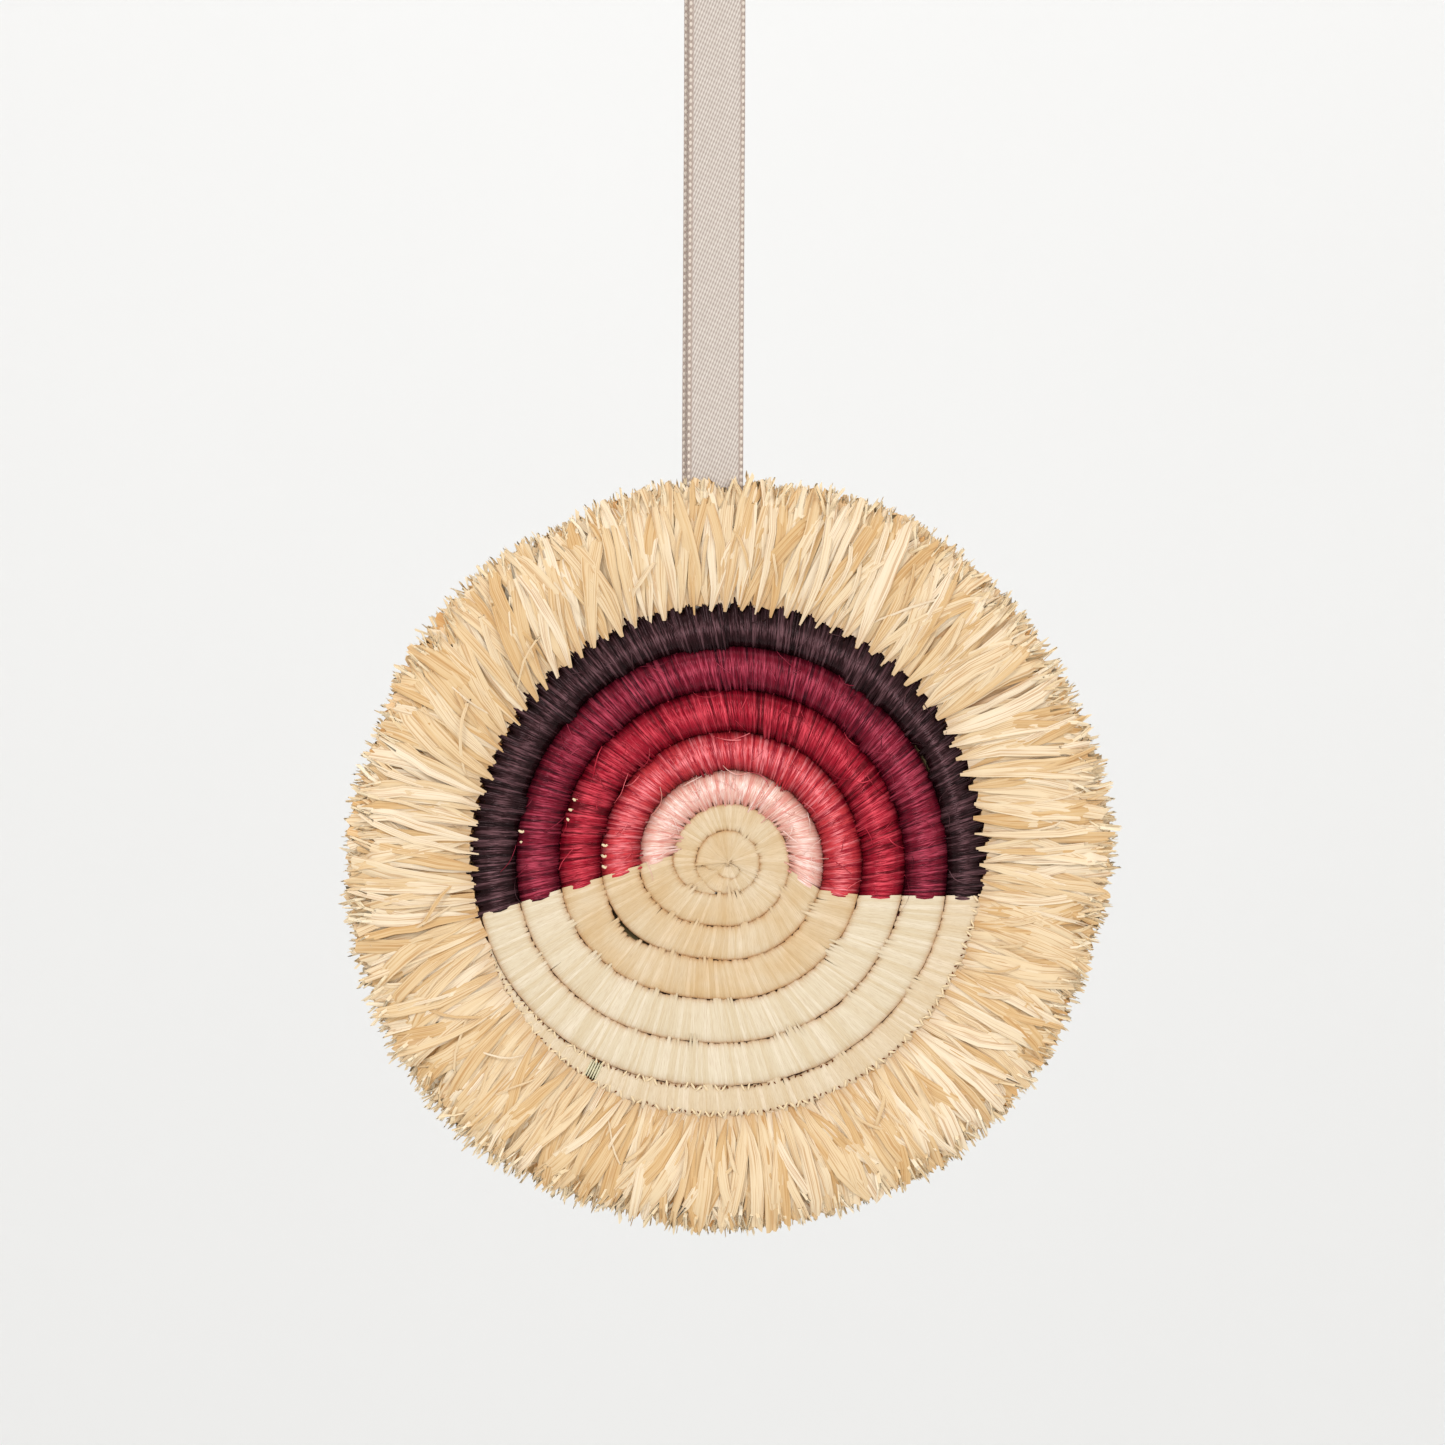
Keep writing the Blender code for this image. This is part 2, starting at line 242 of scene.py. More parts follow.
def right_line(radius):
    """Clockwise angle from straight down at which the dyed half ends."""
    inner = KNOT_RADIUS + ROW_WIDTHS[0]
    radius = max(radius, inner)
    drop = min(RIGHT_LINE_DROP, RIGHT_LINE_START + (radius - inner) * RIGHT_LINE_SLOPE)
    return 1.5 * math.pi + math.asin(min(1.0, drop / radius))


def step_angle(step, radius):
    """Clockwise angle of a step, spaced evenly between the two lines of the dyed half."""
    left, right = left_line(radius), right_line(radius)
    place = step % STEPS
    if place < LEFT_STEP:
        place += STEPS
    if place <= RIGHT_STEP:
        return left + (right - left) * (place - LEFT_STEP) / (RIGHT_STEP - LEFT_STEP)
    turned = left + 2.0 * math.pi
    return right + (turned - right) * (place - RIGHT_STEP) / (STEPS + LEFT_STEP - RIGHT_STEP)


def outward_at(angle):
    """Way out from the middle at a clockwise angle from straight down."""
    return Vector((-math.sin(angle), 0.0, -math.cos(angle)))


def front_point(radius, angle, half=0.0):
    """Point of the disc at a distance in front of its middle plane."""
    return COIL_MIDDLE + radius * outward_at(angle) + half * FORWARD


def crest_half(width):
    """Half the coil's thickness along the crest of a row."""
    rise = min((CREST_THICKNESS - GROOVE_THICKNESS) / 2.0, CREST_SLOPE * width)
    return GROOVE_THICKNESS / 2.0 + rise


def smooth_route(points, pieces):
    """Points of a smooth curve through a route's own points."""
    given = [Vector(point) for point in points]
    given = [2.0 * given[0] - given[1]] + given + [2.0 * given[-1] - given[-2]]
    curve = []
    for a, b, c, d in zip(given, given[1:], given[2:], given[3:]):
        for piece in range(pieces):
            t = piece / pieces
            bend = 2.0 * a - 5.0 * b + 4.0 * c - d
            turn = 3.0 * b - a - 3.0 * c + d
            curve.append(0.5 * (2.0 * b + (c - a) * t + bend * t * t + turn * t * t * t))
    return curve + [given[-2]]


# Node trees


def add_node(tree, kind, *given, **settings):
    """Add a node with its settings. "Math ADD" is short for a ShaderNodeMath with that operation.

    Each given input is a value, a socket or another node. Inputs come by place, where None
    leaves one as it is, or by name in a dictionary.
    """
    kind, _, operation = kind.partition(" ")
    node = tree.nodes.new(kind if "Node" in kind else "ShaderNode" + kind)
    for name, value in {**({"operation": operation} if operation else {}), **settings}.items():
        setattr(node, name, value)
    sockets = [socket for socket in node.inputs if socket.enabled]
    by_name = given and isinstance(given[0], dict)
    for key, value in given[0].items() if by_name else enumerate(given):
        socket = next(s for s in sockets if s.name == key) if by_name else sockets[key]
        if isinstance(value, bpy.types.Node):
            value = next(s for s in value.outputs if s.enabled)
        if isinstance(value, bpy.types.NodeSocket):
            tree.links.new(value, socket)
        elif value is not None:
            socket.default_value = value
    return node


def new_tree(name, numbers, **others):
    """Empty geometry tree with a named input for each number and other kind of value.

    Returns the tree, the function that adds its nodes, and its inputs by name.
    """
    tree = bpy.data.node_groups.new(name, "GeometryNodeTree")
    tree.interface.new_socket("Geometry", in_out="OUTPUT", socket_type="NodeSocketGeometry")
    inputs = {"Geometry": "Geometry", **dict.fromkeys(numbers, "Float"), **others}
    for label, kind in {**inputs, "Seed": "Int", "Material": "Material"}.items():
        tree.interface.new_socket(label, in_out="INPUT", socket_type="NodeSocket" + kind)
    start = tree.nodes.new("NodeGroupInput")
    return tree, partial(add_node, tree), {socket.name: socket for socket in start.outputs if socket.name}


def end_tree(tree, geometry, material):
    """End a tree in real geometry with its material."""
    geometry = add_node(tree, "GeometryNodeRealizeInstances", {"Geometry": geometry})
    geometry = add_node(tree, "GeometryNodeSetMaterial", {"Geometry": geometry, "Material": material})
    end = tree.nodes.new("NodeGroupOutput")
    tree.links.new(geometry.outputs[0], end.inputs[0])
    return tree


def grow(name, guide, tree, values):
    """Run a tree on a guide and keep its result as a plain mesh object."""
    modifier = guide.modifiers.new("tree", "NODES")
    modifier.node_group = tree
    for entry in tree.interface.items_tree:
        if entry.in_out == "INPUT" and entry.name in values:
            modifier[entry.identifier] = values[entry.name]
    bpy.context.view_layer.update()
    depsgraph = bpy.context.evaluated_depsgraph_get()
    mesh = bpy.data.meshes.new_from_object(guide.evaluated_get(depsgraph), depsgraph=depsgraph)
    guide.modifiers.remove(modifier)
    if not mesh.polygons:
        raise RuntimeError(f"the tree for {name} made no faces")
    for attribute in [a.name for a in mesh.attributes]:
        if not attribute.startswith(".") and attribute not in KEPT_ATTRIBUTES:
            mesh.attributes.remove(mesh.attributes[attribute])
    mesh.set_sharp_from_angle(angle=SHARP_ANGLE)
    mesh.name = name
    return link(bpy.data.objects.new(name, mesh))


def link(item):
    """Put an object in the scene."""
    bpy.context.scene.collection.objects.link(item)
    return item


def put_attribute(mesh, name, values):
    """Store one value for each vertex, a number or a vector."""
    vector = isinstance(values[0], Vector)
    attribute = mesh.attributes.new(name, "FLOAT_VECTOR" if vector else "FLOAT", "POINT")
    flat = [part for value in values for part in value] if vector else values
    attribute.data.foreach_set("vector" if vector else "value", flat)


def line_object(name, lines, closed=False):
    """Mesh of polylines. Each point is a dictionary with its place and its attributes."""
    points = [point for line in lines for point in line]
    edges = []
    first = 0
    for line in lines:
        edges += [(first + i, first + i + 1) for i in range(len(line) - 1)]
        if closed:
            edges.append((first + len(line) - 1, first))
        first += len(line)
    mesh = bpy.data.meshes.new(name)
    mesh.from_pydata([point["place"] for point in points], edges, [])
    for attribute in points[0]:
        if attribute != "place":
            put_attribute(mesh, attribute, [point[attribute] for point in points])
    item = link(bpy.data.objects.new(name, mesh))
    item.hide_render = True
    return item


def remove_guides(*items):
    """Delete the objects that trees have followed or copied."""
    for item in items:
        bpy.data.objects.remove(item, do_unlink=True)


def solid_object(name, bm, material):
    """Object of a finished BMesh with its material."""
    mesh = bpy.data.meshes.new(name)
    bm.to_mesh(mesh)
    bm.free()
    mesh.materials.append(material)
    return link(bpy.data.objects.new(name, mesh))


def ring_faces(columns, count):
    """Faces of a closed ring of columns, each a closed loop of the same number of points."""
    faces = []
    for column in range(columns):
        this, after = column * count, (column + 1) % columns * count
        for j in range(count):
            k = (j + 1) % count
            faces.append((this + j, after + j, after + k, this + k))
    return faces


def settle(piece, slot, *nodes):
    """Let a finished piece ride on the part's body in the place of its CAD nodes."""
    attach(piece, "root")
    if nodes:
        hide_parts(*nodes)
    return piece


# Wrapped strands


def band_blank(sections, squareness):
    """One strand of raffia as a closed band: x and y follow the row's section, z is its side."""
    profile = ((-0.5, 0.0), (-0.2, 1.0), (0.2, 1.0), (0.5, 0.0))
    places, lifts = [], []
    for number in range(sections):
        turned = 2.0 * math.pi * number / sections
        swing = math.copysign(abs(math.cos(turned)) ** (2.0 / squareness), math.cos(turned))
        rise = math.copysign(abs(math.sin(turned)) ** (2.0 / squareness), math.sin(turned))
        for side, lift in profile:
            places.append((swing, rise, side))
            lifts.append(lift)
    mesh = bpy.data.meshes.new("strand blank")
    mesh.from_pydata(places, [], ring_faces(sections, len(profile)))
    put_attribute(mesh, "lift", lifts)
    item = link(bpy.data.objects.new("strand_blank", mesh))
    item.hide_render = True
    return item


def wrap_tree():
    """Strands wrapped side by side round a row of the coil, with stitches that catch its edges."""
    tree, add, given = new_tree(
        "wrapped strands",
        (
            "Pitch", "Strand Width", "Thickness", "Slant", "Unevenness", "Inner Catch", "Outer Catch",
            "Catch Point", "Catch Evenness", "Catch Height",
        ),
        Blank="Object",
    )
    curve = add("GeometryNodeMeshToCurve", {"Mesh": given["Geometry"]})
    points = add("GeometryNodeResampleCurve", {"Curve": curve, "Length": given["Pitch"]}, mode="LENGTH")
    position = add("GeometryNodeInputPosition")
    onward = add("GeometryNodeInputTangent")
    dice = {}
    for number, (name, low, high) in enumerate(
        (
            ("tone", 0.0, 1.0), ("slant", -1.0, 1.0), ("shift", -1.0, 1.0), ("height", 0.0, 1.0),
            ("caught in", 0.0, 1.0), ("caught out", 0.0, 1.0), ("breadth", -1.0, 1.0),
        )
    ):
        seed = add("Math ADD", given["Seed"], float(number))
        dice[name] = add(
            "FunctionNodeRandomValue", {"Min": low, "Max": high, "Seed": seed}, data_type="FLOAT"
        )
    stored = {"centre": position, "onward": onward, **dice}
    for name, value in stored.items():
        kind = "FLOAT_VECTOR" if name in ("centre", "onward") else "FLOAT"
        points = add(
            "GeometryNodeStoreNamedAttribute", {"Geometry": points, "Name": name, "Value": value},
            data_type=kind, domain="POINT",
        )
    blank = add("GeometryNodeObjectInfo", {"Object": given["Blank"]})
    blank = add(
        "GeometryNodeStoreNamedAttribute",
        {"Geometry": blank.outputs["Geometry"], "Name": "form", "Value": position},
        data_type="FLOAT_VECTOR", domain="POINT",
    )
    strands = add("GeometryNodeInstanceOnPoints", {"Points": points, "Instance": blank})
    strands = add("GeometryNodeRealizeInstances", {"Geometry": strands})

    read = {}
    for name in ("centre", "onward", "form", "reach"):
        read[name] = add("GeometryNodeInputNamedAttribute", {"Name": name}, data_type="FLOAT_VECTOR")
    for name in ("lift", "swell", "flare", "cluster", "rim", *dice):
        read[name] = add("GeometryNodeInputNamedAttribute", {"Name": name}, data_type="FLOAT")
    form = add("SeparateXYZ", read["form"])
    swing, rise, side = form.outputs[0], form.outputs[1], form.outputs[2]
    unit_reach = add("VectorMath NORMALIZE", read["reach"])

    # A caught stitch is pulled past the row's edge, to a point, on its front and its back
    near_face = add("Math ABSOLUTE", rise)
    near_face = add("MapRange", near_face, 0.2, 0.45)
    pulls = []
    for label, name, envelope, start, end in (
        ("Inner Catch", "caught in", "cluster", -0.55, -0.97),
        ("Outer Catch", "caught out", "rim", 0.55, 0.97),
    ):
        ramp = add("MapRange", swing, start, end, interpolation_type="SMOOTHSTEP")
        ramp = add("Math MULTIPLY", ramp, near_face)
        luck = add("Math POWER", read[name], 1.3)
        luck = add("MapRange", luck, 0.0, 1.0, given["Catch Evenness"], 1.0)
        pull = add("Math MULTIPLY", luck, read[envelope])
        pull = add("Math MULTIPLY", pull, ramp)
        length = add("Math MULTIPLY", pull, given[label])
        pulls.append((pull, length))
    pulled = add("Math ADD", pulls[0][0], pulls[1][0])
    stretch = add("Math SUBTRACT", pulls[1][1], pulls[0][1])
    steep = add("Math SIGN", rise)
    steep = add("Math MULTIPLY", steep, given["Catch Height"])
    lifted = add("Mix", {"Factor": pulled, "A": rise, "B": steep}, data_type="FLOAT")

    # Outwards across the row
    bump = add("Math MULTIPLY", read["lift"], given["Thickness"])
    uneven = add("Math MULTIPLY", read["height"], given["Unevenness"])
    proud = add("Math ADD", bump, uneven)
    outwards = add("Math MULTIPLY_ADD", swing, proud, stretch)
    place = add("VectorMath MULTIPLY_ADD", read["reach"], swing, read["centre"])
    place = add("VectorMath MULTIPLY_ADD", unit_reach, outwards, place)
    # Forwards and backwards through the row's thickness
    height = add("Math ADD", read["swell"], proud)
    height = add("Math MULTIPLY", height, lifted)
    place = add("VectorMath MULTIPLY_ADD", tuple(FORWARD), height, place)
    # Along the row: the strand's own width, which fans out on a tight turn, its slant and its shift
    fan = add("Math MULTIPLY_ADD", read["flare"], swing, 1.0)
    narrow = add("Math MULTIPLY", pulled, given["Catch Point"])
    narrow = add("Math SUBTRACT", 1.0, narrow)
    breadth = add("Math MULTIPLY_ADD", read["breadth"], 0.18, narrow)
    breadth = add("Math MULTIPLY", breadth, fan)
    breadth = add("Math MULTIPLY", breadth, given["Strand Width"])
    slanted = add("Math MULTIPLY", read["slant"], swing)
    slanted = add("Math MULTIPLY", slanted, rise)
    slanted = add("Math MULTIPLY", slanted, given["Slant"])
    shifted = add("Math MULTIPLY", read["shift"], fan)
    shifted = add("Math MULTIPLY_ADD", shifted, given["Slant"], slanted)
    onwards = add("Math MULTIPLY_ADD", side, breadth, shifted)
    place = add("VectorMath MULTIPLY_ADD", read["onward"], onwards, place)
    strands = add("GeometryNodeSetPosition", {"Geometry": strands, "Position": place})

    # How far out across the row, which the material paints as shade towards the grooves
    # and as sheen on the crest; a pulled stitch gets less painted shade than the strands beside it
    edge = add("Math MULTIPLY_ADD", pulled, -0.3, 1.0)
    edge = add("Math MULTIPLY", edge, swing)
    edge = add("Math ABSOLUTE", edge)
    for name, value in (("across", side), ("along", swing), ("edge", edge)):
        strands = add(
            "GeometryNodeStoreNamedAttribute", {"Geometry": strands, "Name": name, "Value": value},
            data_type="FLOAT", domain="POINT",
        )
    strands = add("GeometryNodeSetShadeSmooth", {"Geometry": strands, "Shade Smooth": True})
    return end_tree(tree, strands, given["Material"])


def tint_at(step):
    """How peachy, or below nought how green, a lower half row's natural raffia is."""
    row = int(step / STEPS - 0.5)
    return {3: 1.0, 4: -0.3, 5: -0.3, RIM_TURN: 0.3}.get(row, 0.9)


def knot_edge(step):
    """Inner edge of the knot's row, which starts as a hook round a small fan."""
    degrees = math.degrees(step_angle(step, KNOT_RADIUS)) % 360.0
    degrees -= 360.0 if degrees > 180.0 else 0.0
    for (a, low), (b, high) in zip(KNOT_EDGE, KNOT_EDGE[1:]):
        if a <= degrees < b:
            return 0.001 * (low + (high - low) * (degrees - a) / (b - a))
    return 0.0003


def wrap_line(start, end, seed, edges=None, teeth=0, parts=STEP_PARTS, caught=0.2):
    """Guide points along the middle of the spiral row between two steps.

    Edges gives the radii of the row at a step where they aren't the spiral's own, teeth is how
    many stitches a whole turn of the rim would have, and caught is how far stitches are pulled
    over the inner groove between the clusters of long ones.
    """
    dice = random.Random(seed)
    beats = [dice.uniform(0.0, 2.0 * math.pi) for _ in range(4)]
    count = round((end - start) * parts)
    line = []
    for number in range(count + 1):
        step = start + (end - start) * number / count
        inner, outer = edges(step) if edges else (groove_radius(step - STEPS), groove_radius(step))
        for notch, spread, slip in NOTCHES:
            inner += slip * smooth(1.0 - abs(step - notch) / spread)
        width = outer - inner
        if width < NARROWEST_ROW:
            continue
        angle_in, angle_out = step_angle(step, inner), step_angle(step, outer)
        low = front_point(max(0.0001, inner - OVERLAP), angle_in)
        high = front_point(outer + OVERLAP, angle_out)
        middle = (inner + outer) / 2.0
        # Long stitches come in clusters, where three waves along the row add up
        length = step / STEPS * 2.0 * math.pi * middle / CLUSTER_LENGTH
        wave = math.sin(length + beats[0]) + math.sin(1.7 * length + beats[1])
        wave += 0.7 * math.sin(4.3 * length + beats[2])
        phase = angle_out * teeth / (2.0 * math.pi) % 1.0
        line.append(
            {
                "place": (low + high) / 2.0,
                "reach": (high - low) / 2.0,
                "swell": crest_half(width),
                "flare": width / (2.0 * middle),
                "cluster": caught + (1.0 - caught) * smooth((wave - 0.7) / 0.8),
                "rim": 1.0 - 2.0 * abs(phase - 0.5) if teeth else 0.0,
                "tint": tint_at(step),
            }
        )
    return line


def edge_line(start, end, inner, height):
    """Guide points along the rim row's outer edge, its inner edge or just outside that.

    The height is a share of the crest's, below nought on the back.
    """
    line = []
    count = max(4, round(4 * (end - start)))
    for number in range(count + 1):
        step = start + (end - start) * number / count
        low = groove_radius(step - STEPS)
        high = groove_radius(step)
        radius = low + STEMS_PAST if inner is None else low + SEWING_PAST if inner else high - SEWING_INSIDE
        place = front_point(radius, step_angle(step, radius), height * crest_half(high - low))
        line.append({"place": place, "facing": math.copysign(1.0, height) * FORWARD})
    return line


# Fringe


def station_value(stations, degrees):
    """Value at an angle, smoothed between the stations round the rim."""
    stations = sorted((angle % 360.0, value) for angle, value in stations)
    (first, first_value), (last, last_value) = stations[0], stations[-1]
    stations = [(last - 360.0, last_value), *stations, (first + 360.0, first_value)]
    for (a, low), (b, high) in zip(stations, stations[1:]):
        if a <= degrees <= b:
            return low + (high - low) * smooth((degrees - a) / (b - a))
    return 0.0


def fringe_guide(name, root_dyed, root_natural, at_tips=False):
    """Closed guide round the rim, or near the tips, with the way out and the lean at each point."""
    line = []
    count = TUFTS * 4
    for number in range(count):
        angle = 2.0 * math.pi * number / count
        cut = 0.001 * station_value(CUTS, math.degrees(angle))
        above = smooth(0.5 - 4.0 * (math.cos(angle) - 0.1))
        radius = root_natural + (root_dyed - root_natural) * above + rim_bulge(math.degrees(angle))
        aside = abs((angle - math.pi) * RIM_RADIUS)
        line.append(
            {
                "place": front_point(radius - cut if at_tips else radius, angle),
                "outward": outward_at(angle),
                "lean": math.radians(station_value(LEANS, math.degrees(angle))),
                "cut": 0.0 if at_tips else cut + max(0.0, radius - ROOT_LINE),
                "room": 0.0 if aside < RIBBON_WIDTH / 2.0 + RIBBON_CLEARANCE else 1.0,
            }
        )
    return line_object(name, [line], closed=True)


def stray_lines(start, end):
    """Guides along a row's two grooves for loose fibres that cross the row from either side."""
    lines = []
    for groove, way in ((STEPS, 1.0), (0, -1.0)):
        line = []
        for step in range(start + 1, end):
            radius = groove_radius(step - groove)
            angle = step_angle(step, radius)
            line.append(
                {
                    "place": front_point(radius, angle), "outward": way * outward_at(angle),
                    "lean": 0.0, "cut": 0.0, "room": 1.0,
                }
            )
        lines.append(line)
    return lines


def blade_profile():
    """Section of one blade: a flat strip folded lengthwise."""
    outline = (
        (-0.5, 0.0), (-0.24, -0.07), (0.02, 0.02), (0.26, -0.06), (0.5, 0.03),
        (0.26, 0.02), (0.02, 0.1), (-0.24, 0.01),
    )
    points = [{"place": Vector((x, y, 0.0)), "across": x} for x, y in outline]
    return line_object("blade_profile", [points], closed=True)


def blade_tree():
    """Raffia blades that leave the rim in tufts, lean, bend and end ragged."""
    tree, add, given = new_tree(
        "fringe blades",
        (
            "Length", "Length Spread", "Narrowest", "Widest", "Root Width", "Fan", "Gather", "Lean Spread",
            "Bend", "Twist", "Lowest", "Highest", "Belly", "Frayed", "Crumple", "Clumps", "Root Spread",
            "Root Shade", "Shade End", "Pocket",
        ),
        Profile="Object", Tufts="Int", Blades="Int", Joints="Int",
    )
    curve = add("GeometryNodeMeshToCurve", {"Mesh": given["Geometry"]})
    tufts = add("GeometryNodeCurveToPoints", {"Curve": curve, "Count": given["Tufts"]}, mode="COUNT")
    roots = add(
        "GeometryNodeDuplicateElements", {"Geometry": tufts, "Amount": given["Blades"]}, domain="POINT"
    )
    number = roots.outputs["Duplicate Index"]
    room = add("GeometryNodeInputNamedAttribute", {"Name": "room"}, data_type="FLOAT")
    crowded = add("FunctionNodeCompare LESS_THAN", {"A": room, "B": given["Pocket"]})
    dice = {}
    for place, (name, low, high) in enumerate(
        (
            ("tone", 0.0, 1.0), ("size", 0.0, 1.0), ("lean by chance", -1.0, 1.0), ("lean more", -1.0, 1.0),
            ("bend", -1.0, 1.0), ("twist", -1.0, 1.0), ("depth", 0.0, 1.0), ("reach", -1.0, 1.0),
            ("nudge", -0.5, 0.5), ("late twist", -1.0, 1.0),
        )
    ):
        seed = add("Math ADD", given["Seed"], float(place))
        dice[name] = add(
            "FunctionNodeRandomValue", {"Min": low, "Max": high, "Seed": seed}, data_type="FLOAT"
        )
    # Where in its tuft the blade stands, from -0.5 to 0.5
    stand = add("Math ADD", number, 0.5)
    stand = add("Math DIVIDE", stand, given["Blades"])
    stand = add("Math SUBTRACT", stand, 0.5)
    stand = add("Math MULTIPLY_ADD", dice["nudge"], 0.4, stand)
    chance = add("Math MULTIPLY", dice["lean by chance"], dice["lean more"])
    chance = add("Math MULTIPLY", chance, given["Lean Spread"])
    points = roots
    position = add("GeometryNodeInputPosition")
    # Neighbouring tufts lean together in locks
    lock = add("TexNoise", {"Vector": position, "Scale": 210.0, "Detail": 1.0})
    lock = add("Math SUBTRACT", lock, 0.5)
    chance = add("Math MULTIPLY_ADD", lock, given["Clumps"], chance)
    for name, kind, value in (
        ("root", "FLOAT_VECTOR", position), ("stand", "FLOAT", stand), ("chance", "FLOAT", chance),
        *((name, "FLOAT", value) for name, value in dice.items()),
    ):
        points = add(
            "GeometryNodeStoreNamedAttribute", {"Geometry": points, "Name": name, "Value": value},
            data_type=kind, domain="POINT",
        )
    points = add("GeometryNodeDeleteGeometry", {"Geometry": points, "Selection": crowded}, domain="POINT")
    straight = add("GeometryNodeCurvePrimitiveLine", {"Start": (0, 0, 0), "End": (0.01, 0, 0)})
    straight = add("GeometryNodeResampleCurve", {"Curve": straight, "Count": given["Joints"]}, mode="COUNT")
    share = add("GeometryNodeSplineParameter")
    straight = add(
        "GeometryNodeStoreNamedAttribute",
        {"Geometry": straight, "Name": "along", "Value": share.outputs["Factor"]}, data_type="FLOAT",
        domain="POINT",
    )
    blades = add("GeometryNodeInstanceOnPoints", {"Points": points, "Instance": straight})
    blades = add("GeometryNodeRealizeInstances", {"Geometry": blades})

    read = {}
    for name in ("root", "outward"):
        read[name] = add("GeometryNodeInputNamedAttribute", {"Name": name}, data_type="FLOAT_VECTOR")
    for name in ("along", "across", "stand", "chance", "lean", "cut", *dice):
        read[name] = add("GeometryNodeInputNamedAttribute", {"Name": name}, data_type="FLOAT")
    # The way the blade runs: the fringe's lean, its own, and a bend that grows along it
    bend = add("Math MULTIPLY", read["bend"], read["along"])
    turned = add("Math MULTIPLY_ADD", bend, given["Bend"], read["chance"])
    turned = add("Math ADD", turned, read["lean"])
    ahead = add(
        "VectorRotate", {"Vector": read["outward"], "Axis": (0.0, 1.0, 0.0), "Angle": turned},
        rotation_type="AXIS_ANGLE",
    )
    clockwise = add(
        "VectorRotate", {"Vector": ahead, "Axis": (0.0, 1.0, 0.0), "Angle": math.pi / 2.0},
        rotation_type="AXIS_ANGLE",
    )
    # Blades at the side of a tuft start a little further out, so that the tuft ends round
    aside = add("Math ABSOLUTE", read["stand"])
    late = add("Math MULTIPLY", aside, given["Gather"])
    length = add("Math MULTIPLY_ADD", read["reach"], given["Length Spread"], given["Length"])
    length = add("Math SUBTRACT", length, late)
    length = add("Math SUBTRACT", length, read["cut"])
    run = add("Math MULTIPLY", length, read["along"])
    start = add("VectorMath MULTIPLY_ADD", read["outward"], late, read["root"])
    place = add("VectorMath MULTIPLY_ADD", ahead, run, start)
    spread = add("MapRange", read["along"], 0.0, 0.16, given["Root Spread"], 1.0)
    spread = add("Math MULTIPLY", spread, read["stand"])
    spread = add("Math MULTIPLY", spread, given["Fan"])
    place = add("VectorMath MULTIPLY_ADD", clockwise, spread, place)
    # How far in front of the middle plane, with a belly two thirds of the way along
    depth = add("MapRange", read["depth"], 0.0, 1.0, given["Lowest"], given["Highest"])
    belly = add("FloatCurve", {"Value": read["along"]})
    set_curve(belly, ((0.0, 0.53), (0.3, 0.8), (0.65, 1.0), (1.0, 0.6)))
    height = add("Math MULTIPLY", depth, belly)
    height = add("Math MULTIPLY", height, given["Belly"])
    place = add("VectorMath MULTIPLY_ADD", tuple(FORWARD), height, place)
    blades = add("GeometryNodeSetPosition", {"Geometry": blades, "Position": place})
    blades = add("GeometryNodeSetCurveNormal", {"Curve": blades, "Normal": clockwise}, mode="FREE")
    twist = add("Math MULTIPLY_ADD", read["along"], read["late twist"], read["twist"])
    twist = add("Math MULTIPLY", twist, given["Twist"])
    blades = add("GeometryNodeSetCurveTilt", {"Curve": blades, "Tilt": twist})

    width = add("MapRange", read["size"], 0.0, 1.0, given["Narrowest"], given["Widest"])
    taper = add("FloatCurve", {"Value": read["along"]})
    set_curve(taper, ((0.0, 0.0), (0.12, 0.4), (0.4, 0.95), (0.8, 1.0), (1.0, 0.8)))
    taper = add("MapRange", taper, 0.0, 1.0, given["Root Width"], 1.0)
    width = add("Math MULTIPLY", width, taper)
    profile = add("GeometryNodeObjectInfo", {"Object": given["Profile"]})
    profile = add("GeometryNodeMeshToCurve", {"Mesh": profile.outputs["Geometry"]})
    blades = add(
        "GeometryNodeCurveToMesh",
        {"Curve": blades, "Profile Curve": profile, "Scale": width, "Fill Caps": True},
    )
    # Ragged ends, torn alike on the blade's front and back
    torn = add("CombineXYZ", read["across"], read["tone"], read["size"])
    torn = add("TexWhiteNoise", {"Vector": torn}, noise_dimensions="3D")
    torn = add("Math MULTIPLY_ADD", torn, 1.4, -1.0)
    at_end = add("MapRange", read["along"], 0.9, 1.0)
    torn = add("Math MULTIPLY", torn, at_end)
    torn = add("Math MULTIPLY", torn, given["Frayed"])
    torn = add("VectorMath SCALE", read["outward"], torn)
    # Creases, which grow from the root
    spot = add("Math MULTIPLY", read["tone"], 0.05)
    spot = add("CombineXYZ", spot, spot)
    spot = add("VectorMath ADD", position, spot)
    crease = add("TexNoise", {"Vector": spot, "Scale": 200.0, "Detail": 1.5})
    crease = add("VectorMath SUBTRACT", crease.outputs["Color"], (0.5, 0.5, 0.5))
    grown = add("MapRange", read["along"], 0.05, 0.35)
    grown = add("Math MULTIPLY", grown, given["Crumple"])
    torn = add("VectorMath MULTIPLY_ADD", crease, grown, torn)
    blades = add("GeometryNodeSetPosition", {"Geometry": blades, "Offset": torn})
    # Painted shade from the root outwards: Root Shade is how much, Shade End how far along
    edge = add("MapRange", read["along"], 0.0, given["Shade End"], given["Root Shade"], 0.0)
    blades = add(
        "GeometryNodeStoreNamedAttribute", {"Geometry": blades, "Name": "edge", "Value": edge},
        data_type="FLOAT", domain="POINT",
    )
    return end_tree(tree, blades, given["Material"])


